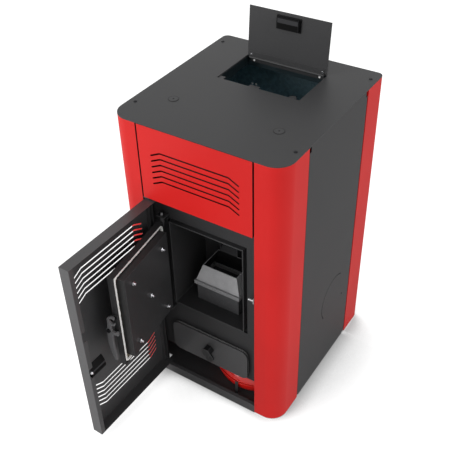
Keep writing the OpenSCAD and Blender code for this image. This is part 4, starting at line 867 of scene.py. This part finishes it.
@dataclass(frozen=True)
class Gasket:
    """A rope laid in a closed ring with round corners, upright and facing the front."""

    half_x: float
    half_z: float
    y: float
    z: float
    corner: float
    radius: float
    swell: float
    waves: float
    lump: float
    fluff: float
    spread: float = 1.0
    step: float = 4.0
    smooth: float = 80

    def path(self) -> list[Vector]:
        """Points of its middle line, in order."""
        points = []
        bends = max(4, int(self.corner * math.pi / 2 / self.step))
        reach_x, reach_z = self.half_x - self.corner, self.half_z - self.corner
        for number, (sx, sz) in enumerate(((1, 1), (-1, 1), (-1, -1), (1, -1))):
            centre = Vector((sx * reach_x, self.y, self.z + sz * reach_z))
            for i in range(bends + 1):
                angle = math.pi / 2 * (number + i / bends)
                points.append(centre + self.corner * Vector((math.cos(angle), 0, math.sin(angle))))
        ring = []
        for first, second in zip(points, points[1:] + points[:1]):
            parts = max(1, round((second - first).length / self.step))
            ring += [first.lerp(second, i / parts) for i in range(parts)]
        return ring

    def shape(self) -> Shape:
        """The rope, with its swellings and its fluff."""
        shape = Shape()
        shape.rope(self.path(), BACK, lambda share: self.radius + self.swell * math.sin(share * self.waves),
                   self.spread)
        shape.roughen(self.lump, self.fluff)
        return shape


class SubAssembly:
    """A group of pieces that belong together."""

    copies: Copies = ()

    def build(self) -> None:
        """Makes every piece of the group."""
        for copy in self.copies:
            copy.build()
        self.details()

    def details(self) -> None:
        """Makes the pieces that aren't copies."""


@dataclass
class Casing(SubAssembly):
    """Columns, strips, panels and base of the casing."""

    copies: Copies = (
        Copy("base_tray", 0.5, look=Look.SILL_LIGHTENED), Copy("front_column_left", 0.5),
        Copy("front_column_right", 0.5), Copy("rear_strip_left", 0.5),
        Copy("rear_strip_right", 0.5), Copy("side_panel_left", 0.5), Copy("side_panel_right"),
        Copy("back_panel", 0.5), Copy("upper_front_panel"), Copy("front_plate", 0.5))


@dataclass
class TopPlate(SubAssembly):
    """Top plate with its discs and button screws."""

    copies: Copies = (Copy("top_plate", 0.9, 3), Copy("blanking_discs", look=Look.DISC))
    screw_x: float = 277
    screw_y: Band = (-222, 266)
    top: float = 1070
    head_r: float = 6
    head_t: float = 2.4
    rim_t: float = 0.7
    bulge: Band = (0.86, 1.7)
    crown: float = 0.6
    shank_r: float = 2.5
    shank_l: float = 12
    hex_low: float = 0.6
    hex_gap: float = 0.02
    steps: int = 24

    def details(self) -> None:
        """Makes the four button screws, each with a hexagon in its head."""
        shape = Shape()
        bulge_r, bulge_h = self.bulge
        profile = [(0, -self.shank_l), (self.shank_r, -self.shank_l), (self.shank_r, 0), (self.head_r, 0),
                   (self.head_r, self.rim_t), (self.head_r * bulge_r, bulge_h),
                   (self.head_r * self.crown, self.head_t)]
        for x in (-self.screw_x, self.screw_x):
            for y in self.screw_y:
                seat = Vector((x, y, self.top))
                shape.turned(profile, seat, UP, self.steps)
                shape.hexagon(seat + self.hex_low * UP, UP, self.head_r * self.crown,
                              self.head_t - self.hex_low - self.hex_gap)
        shape.finish("plate_screws_turned", "casing", Slot.BLACK, replaces=["plate_screws"])


@dataclass
class OuterDoor(SubAssembly):
    """Slotted outer door with its pull and its ball catch."""

    copies: Copies = (
        Copy("outer_door_tray", look=Look.DOOR), Copy("door_finger_pull", look=Look.GRIP),
        Copy("hinge_brackets", 0.6))
    ball_x: float = 190
    ball_z: float = 362
    ball_r: float = 6
    ball_y: float = -280.3
    tray_in: float = -318.8
    foot_r: float = 7.5
    foot_t: float = 1.5
    foot_edge: float = 0.6
    stem_r: float = 4
    bends: int = 10
    steps: int = 32
    smooth: float = 60

    def details(self) -> None:
        """Makes the ball catch."""
        reach = self.ball_y - self.tray_in
        start = math.asin(self.stem_r / self.ball_r)
        angles = [start + (math.pi - start) * i / self.bends for i in range(self.bends)]
        profile = [(0, 0), (self.foot_r, 0), (self.foot_r, self.foot_t - self.foot_edge),
                   (self.foot_r - self.foot_edge, self.foot_t), (self.stem_r, self.foot_t),
                   *((self.ball_r * math.sin(a), reach - self.ball_r * math.cos(a)) for a in angles),
                   (0, reach + self.ball_r)]
        shape = Shape()
        shape.turned(profile, Vector((self.ball_x, self.tray_in, self.ball_z)), BACK, self.steps)
        shape.finish("ball_catch_turned", "outer_door", Slot.BRIGHT, swung("outer_door_hinge"),
                     ["door_ball_catch"], self.smooth)


@dataclass
class FireDoor(SubAssembly):
    """Insulated fire door with its rope, baffle and studs."""

    copies: Copies = (
        Copy("fire_door_tray", 0.7), Copy("fire_door_insulation", 0.8),
        Copy("fire_door_baffle", 1.2, 3), Copy("hinge_pins", 0.5, look=Look.PIN))
    rope: Gasket = Gasket(half_x=139.5, half_z=179.5, y=-287.3, z=520, corner=14, radius=4.25, swell=0.2,
                          waves=190, lump=5.0, fluff=1.1, spread=1.3)
    baffle_z: float = 525
    stud_dx: float = 87
    stud_dz: float = 125.5
    board: float = -301.3
    face: float = -260.3
    stud_r: float = 4
    stud_out: float = 14
    pitch: float = 1.25
    thread: float = 0.7
    tip_low: float = 0.8
    tip: float = 1.4
    tip_l: float = 0.3
    nut_r: float = 7.5
    nut_t: float = 6.5
    nut_edge: float = 0.9
    nut_turn: Band = (11.0, 17.0)
    steps: int = 20
    smooth: float = 30

    def details(self) -> None:
        """Makes the rope and the studs."""
        swing = swung("fire_door_hinge")
        self.rope.shape().finish("fire_door_rope_braided", "fire_door", Slot.WHITE_ROPE, swing,
                                 ["fire_door_rope"], self.rope.smooth)
        studs = Shape()
        turn_x, turn_z = self.nut_turn
        for dx, dz in ((-1, -1), (-1, 1), (1, -1), (1, 1), (0, 0)):
            self.stud(studs, dx * self.stud_dx, self.baffle_z + dz * self.stud_dz, turn_x * dx + turn_z * dz)
        studs.finish("baffle_studs_threaded", "fire_door", Slot.BRIGHT, swing, ["baffle_studs"], self.smooth)

    def stud(self, shape: Shape, x: float, z: float, turn: float) -> None:
        """Adds one threaded stud with its nut.

        Args:
            shape: Mesh that takes it.
            x: Place across.
            z: Height.
            turn: Angle at which the nut was left, in degrees.
        """
        nut_end = self.face - self.board + self.nut_t
        end = self.face - self.board + self.stud_out
        thread = []
        for i in range(int((end - nut_end) / self.pitch)):
            low = nut_end + i * self.pitch
            thread += [(self.stud_r - self.thread, low), (self.stud_r, low + self.pitch / 2)]
        profile = [(0, 0), (self.stud_r, 0), (self.stud_r, nut_end), *thread,
                   (self.stud_r - self.tip_low, end - self.tip_l), (self.stud_r - self.tip, end), (0, end)]
        shape.turned(profile, Vector((x, self.board, z)), BACK, self.steps)
        shape.hexagon(Vector((x, self.face, z)), BACK, self.nut_r, self.nut_t, self.nut_edge, turn)


@dataclass
class Latch(SubAssembly):
    """Latch plate, lever, screws and the catch pin."""

    copies: Copies = (
        Copy("latch_plate", 0.5), Copy("latch_lever", 1.2, 3, Look.LEVER), Copy("latch_screws"),
        Copy("catch_pin", 0.6, look=Look.PIN))


@dataclass
class Firebox(SubAssembly):
    """Firebox with the burner and what lies behind it."""

    copies: Copies = (
        Copy("firebox", 0.8), Copy("water_jacket", 0.6), Copy("burner_pot", 1.6, 3, Look.POT),
        Copy("burner_hood", 0.9, look=Look.HOOD), Copy("igniter"), Copy("drop_chute", 0.5),
        Copy("boiler_stand", 0.5))


@dataclass
class AshDrawer(SubAssembly):
    """Ash drawer with its rope, pan and turn handle."""

    copies: Copies = (
        Copy("ash_front", 1.2, 3, Look.DRAWER), Copy("ash_pan"),
        Copy("ash_handle", 1.3, 3, Look.HANDLE), Copy("ash_latch_bar", 0.5))
    rope: Gasket = Gasket(half_x=151, half_z=60, y=-279.0, z=181, corner=19, radius=4.5, swell=0.1,
                          waves=150, lump=6.0, fluff=0.2)

    def details(self) -> None:
        """Makes the rope behind the front."""
        self.rope.shape().finish("ash_rope_braided", "ash_drawer", Slot.DARK_ROPE, replaces=["ash_rope"],
                                 smooth=self.rope.smooth)


@dataclass
class Hopper(SubAssembly):
    """Pellet hopper with its lid."""

    copies: Copies = (
        Copy("hopper_frame", 0.5), Copy("hopper_bin", 0.3), Copy("hopper_lid", 0.8, 3),
        Copy("lid_pull", 0.6, look=Look.PULL), Copy("lid_hinge_strip"), Copy("lid_hinge_leaf"),
        Copy("lid_screws"), Copy("strip_screws", look=Look.GLINT_HEAD))
    wall_x: Band = (-177, -161)
    wall_y: float = 296
    wall_z: float = 922
    head_r: float = 4
    head_t: float = 2.4
    sunk: float = 0.5
    crown: float = 0.6
    steps: int = 20

    def details(self) -> None:
        """Makes the two screw heads on the bin's wall, painted white as a glint."""
        shape = Shape()
        profile = [(0, -self.sunk), (self.head_r, -self.sunk), (self.head_r, self.head_t / 2),
                   (self.head_r * self.crown, self.head_t), (0, self.head_t)]
        for x in self.wall_x:
            shape.turned(profile, Vector((x, self.wall_y, self.wall_z)), -BACK, self.steps)
        shape.finish("hopper_wall_screws", "casing", Slot.BRIGHT, look=Look.GLINT_HEAD)


@dataclass
class Feed(SubAssembly):
    """Auger with its tube and motor."""

    copies: Copies = (
        Copy("auger_tube"), Copy("auger_screw", 0.2), Copy("auger_motor", 1.2, 3))


@dataclass
class FlueSide(SubAssembly):
    """Flue fan with its housing, motor and spigot."""

    copies: Copies = (
        Copy("fan_housing", 0.5), Copy("fan_wheel", 0.3), Copy("fan_motor", 1.5, 3),
        Copy("flue_spigot"))


@dataclass
class WaterSide(SubAssembly):
    """Expansion vessel, pump, pipes and safety valve."""

    copies: Copies = (
        Copy("expansion_vessel", 0.8, 3), Copy("circulation_pump", 1.5, 3), Copy("water_pipes"),
        Copy("safety_valve", 0.8))


@dataclass
class Electrics(SubAssembly):
    """Control box and mains inlet."""

    copies: Copies = (Copy("control_box", 0.5), Copy("mains_inlet", 0.5))


@dataclass(frozen=True)
class Lamp:
    """One soft square lamp, with its side in metres and its power in watts."""

    name: str
    place: Triple
    aim: Triple
    size: float
    power: float

    def hang(self) -> None:
        """Hangs the lamp in its place and turns it to its aim."""
        light = bpy.data.lights.new(self.name, "AREA")
        light.shape, light.size, light.energy = "SQUARE", self.size, self.power
        lamp = placed(self.name, light)
        lamp.location = self.place
        lamp.rotation_mode = "QUATERNION"
        lamp.rotation_quaternion = (Vector(self.aim) - Vector(self.place)).to_track_quat("-Z", "Y")


@dataclass
class Studio:
    """Floor, light and camera."""

    azimuth: float = 34.14
    elevation: float = 38.45
    roll: float = -1.87
    focal: float = 743.81
    picture: float = 450
    place: Triple = (1.06689, -1.73987, 2.17485)
    sensor: float = 36
    clip: Band = (0.05, 60)
    lamps: Sequence[Lamp] = (
        Lamp("key", (-2.2, -3.1, 2.1), (0.0, -0.1, 0.5), 2.2, 86),
        Lamp("side", (3.2, -0.4, 1.7), (0.1, 0.0, 0.55), 2.0, 27),
        Lamp("top", (0.2, 0.3, 3.6), (0.0, 0.0, 0.6), 2.4, 5))
    soft: float = 0.55
    floor_half: float = 14
    floor_z: float = -0.0006
    floor_rough: float = 0.9
    floor_gloss: float = 0.1
    floor_tones: tuple[Colour, Colour] = (srgb(226, 226, 226), srgb(222, 222, 222))
    speck_scale: float = 2.0
    speck: float = 0.02
    shade_reach: float = 0.45
    shade_lean: Triple = (-0.62, -0.3, 0.72)
    shade: Band = (0.0, 0.73)
    contact_reach: float = 0.1
    contact: Band = (0.2, 0.9)
    darkest_painted_shadow: float = 0.16
    glow: float = 1.3
    glow_share: float = 0.85
    samples: int = 16

    def build(self) -> None:
        """Makes the whole studio."""
        self.floor()
        self.world()
        for lamp in self.lamps:
            lamp.hang()
        self.camera()

    def open_air(self, recipe: Recipe, reach: float, band: Band, **sockets: Wire) -> Wire:
        """How open the floor is to the air within a reach, with a band of it drawn out to 0 and 1."""
        node = recipe.node("AmbientOcclusion", {"Distance": reach, **sockets}, "AO", samples=self.samples)
        return node.above(*band)

    def floor(self) -> None:
        """A pale floor that stays white in the picture; its shadow is mostly painted into its glow from how open
        it is to the air, and a small share comes from the lamps.
        """
        recipe = Recipe("studio_floor")
        speck = recipe.cloud(self.speck_scale) * self.speck
        recipe.surface(recipe.mix(speck, *self.floor_tones), self.floor_rough,
                       specular_ior_level=self.floor_gloss)
        lean = recipe.node("CombineXYZ", dict(enumerate(self.shade_lean)))
        share = (self.open_air(recipe, self.shade_reach, self.shade, Normal=lean)
                 * self.open_air(recipe, self.contact_reach, self.contact))
        # Painted shadow: the floor's glow darkens where the boiler closes it in
        tone = recipe.mix(share, (self.darkest_painted_shadow,) * 3, WHITE)
        glow = recipe.node("Emission", {"Color": tone, "Strength": self.glow})
        seen = recipe.node("LightPath", output="Is Camera Ray") * self.glow_share
        matt = Wire(recipe, recipe.shader.outputs[0])
        both = recipe.node("MixShader", {0: seen, 1: matt, 2: glow})
        recipe.feed(recipe.output.inputs["Surface"], both)
        bm = bmesh.new()
        bmesh.ops.create_grid(bm, x_segments=2, y_segments=2, size=self.floor_half)
        mesh = bpy.data.meshes.new("floor")
        bm.to_mesh(mesh)
        bm.free()
        mesh.materials.append(recipe.material)
        plane = placed("floor", mesh)
        plane.location.z = self.floor_z

    def world(self) -> None:
        """White for the camera and in reflections, and a softer light on the object."""
        world = bpy.data.worlds.new("studio")
        world.use_nodes = True
        graph = Graph(world.node_tree)
        camera, glossy, through = (graph.node("LightPath", output=ray) for ray in (
            "Is Camera Ray", "Is Glossy Ray", "Is Transmission Ray"))
        bare = camera.maths("MAXIMUM", glossy).maths("MAXIMUM", through)
        soft, white = (graph.node("Background", {"Color": WHITE, "Strength": strength})
                       for strength in (self.soft, 1.0))
        both = graph.node("MixShader", {0: bare, 1: soft, 2: white})
        out = world.node_tree.nodes.new("ShaderNodeOutputWorld")
        graph.feed(out.inputs["Surface"], both)
        bpy.context.scene.world = world

    def camera(self) -> None:
        """The camera at the photograph's angle."""
        a, e, r = (math.radians(v) for v in (self.azimuth, self.elevation, self.roll))
        back = Vector((math.sin(a) * math.cos(e), -math.cos(a) * math.cos(e), math.sin(e)))
        right = UP.cross(back).normalized()
        upward = back.cross(right)
        across = math.cos(r) * right + math.sin(r) * upward
        above = -math.sin(r) * right + math.cos(r) * upward
        data = bpy.data.cameras.new("camera")
        data.sensor_width = self.sensor
        data.lens = self.focal / self.picture * self.sensor
        data.clip_start, data.clip_end = self.clip
        camera = placed("camera", data)
        turn = Matrix((across, above, back)).transposed().to_4x4()
        camera.matrix_world = Matrix.Translation(self.place) @ turn
        bpy.context.scene.camera = camera


def main() -> None:
    """Builds the studio and every sub-assembly."""
    logging.basicConfig(level=logging.INFO, format="%(name)s: %(message)s")
    bpy.context.scene.view_settings.view_transform = "Standard"
    Studio().build()
    for group in (Casing(), TopPlate(), OuterDoor(), FireDoor(), Latch(), Firebox(), AshDrawer(), Hopper(),
                  Feed(), FlueSide(), WaterSide(), Electrics()):
        group.build()
        log.info("built %s", type(group).__name__)


if __name__ == "__main__":
    main()
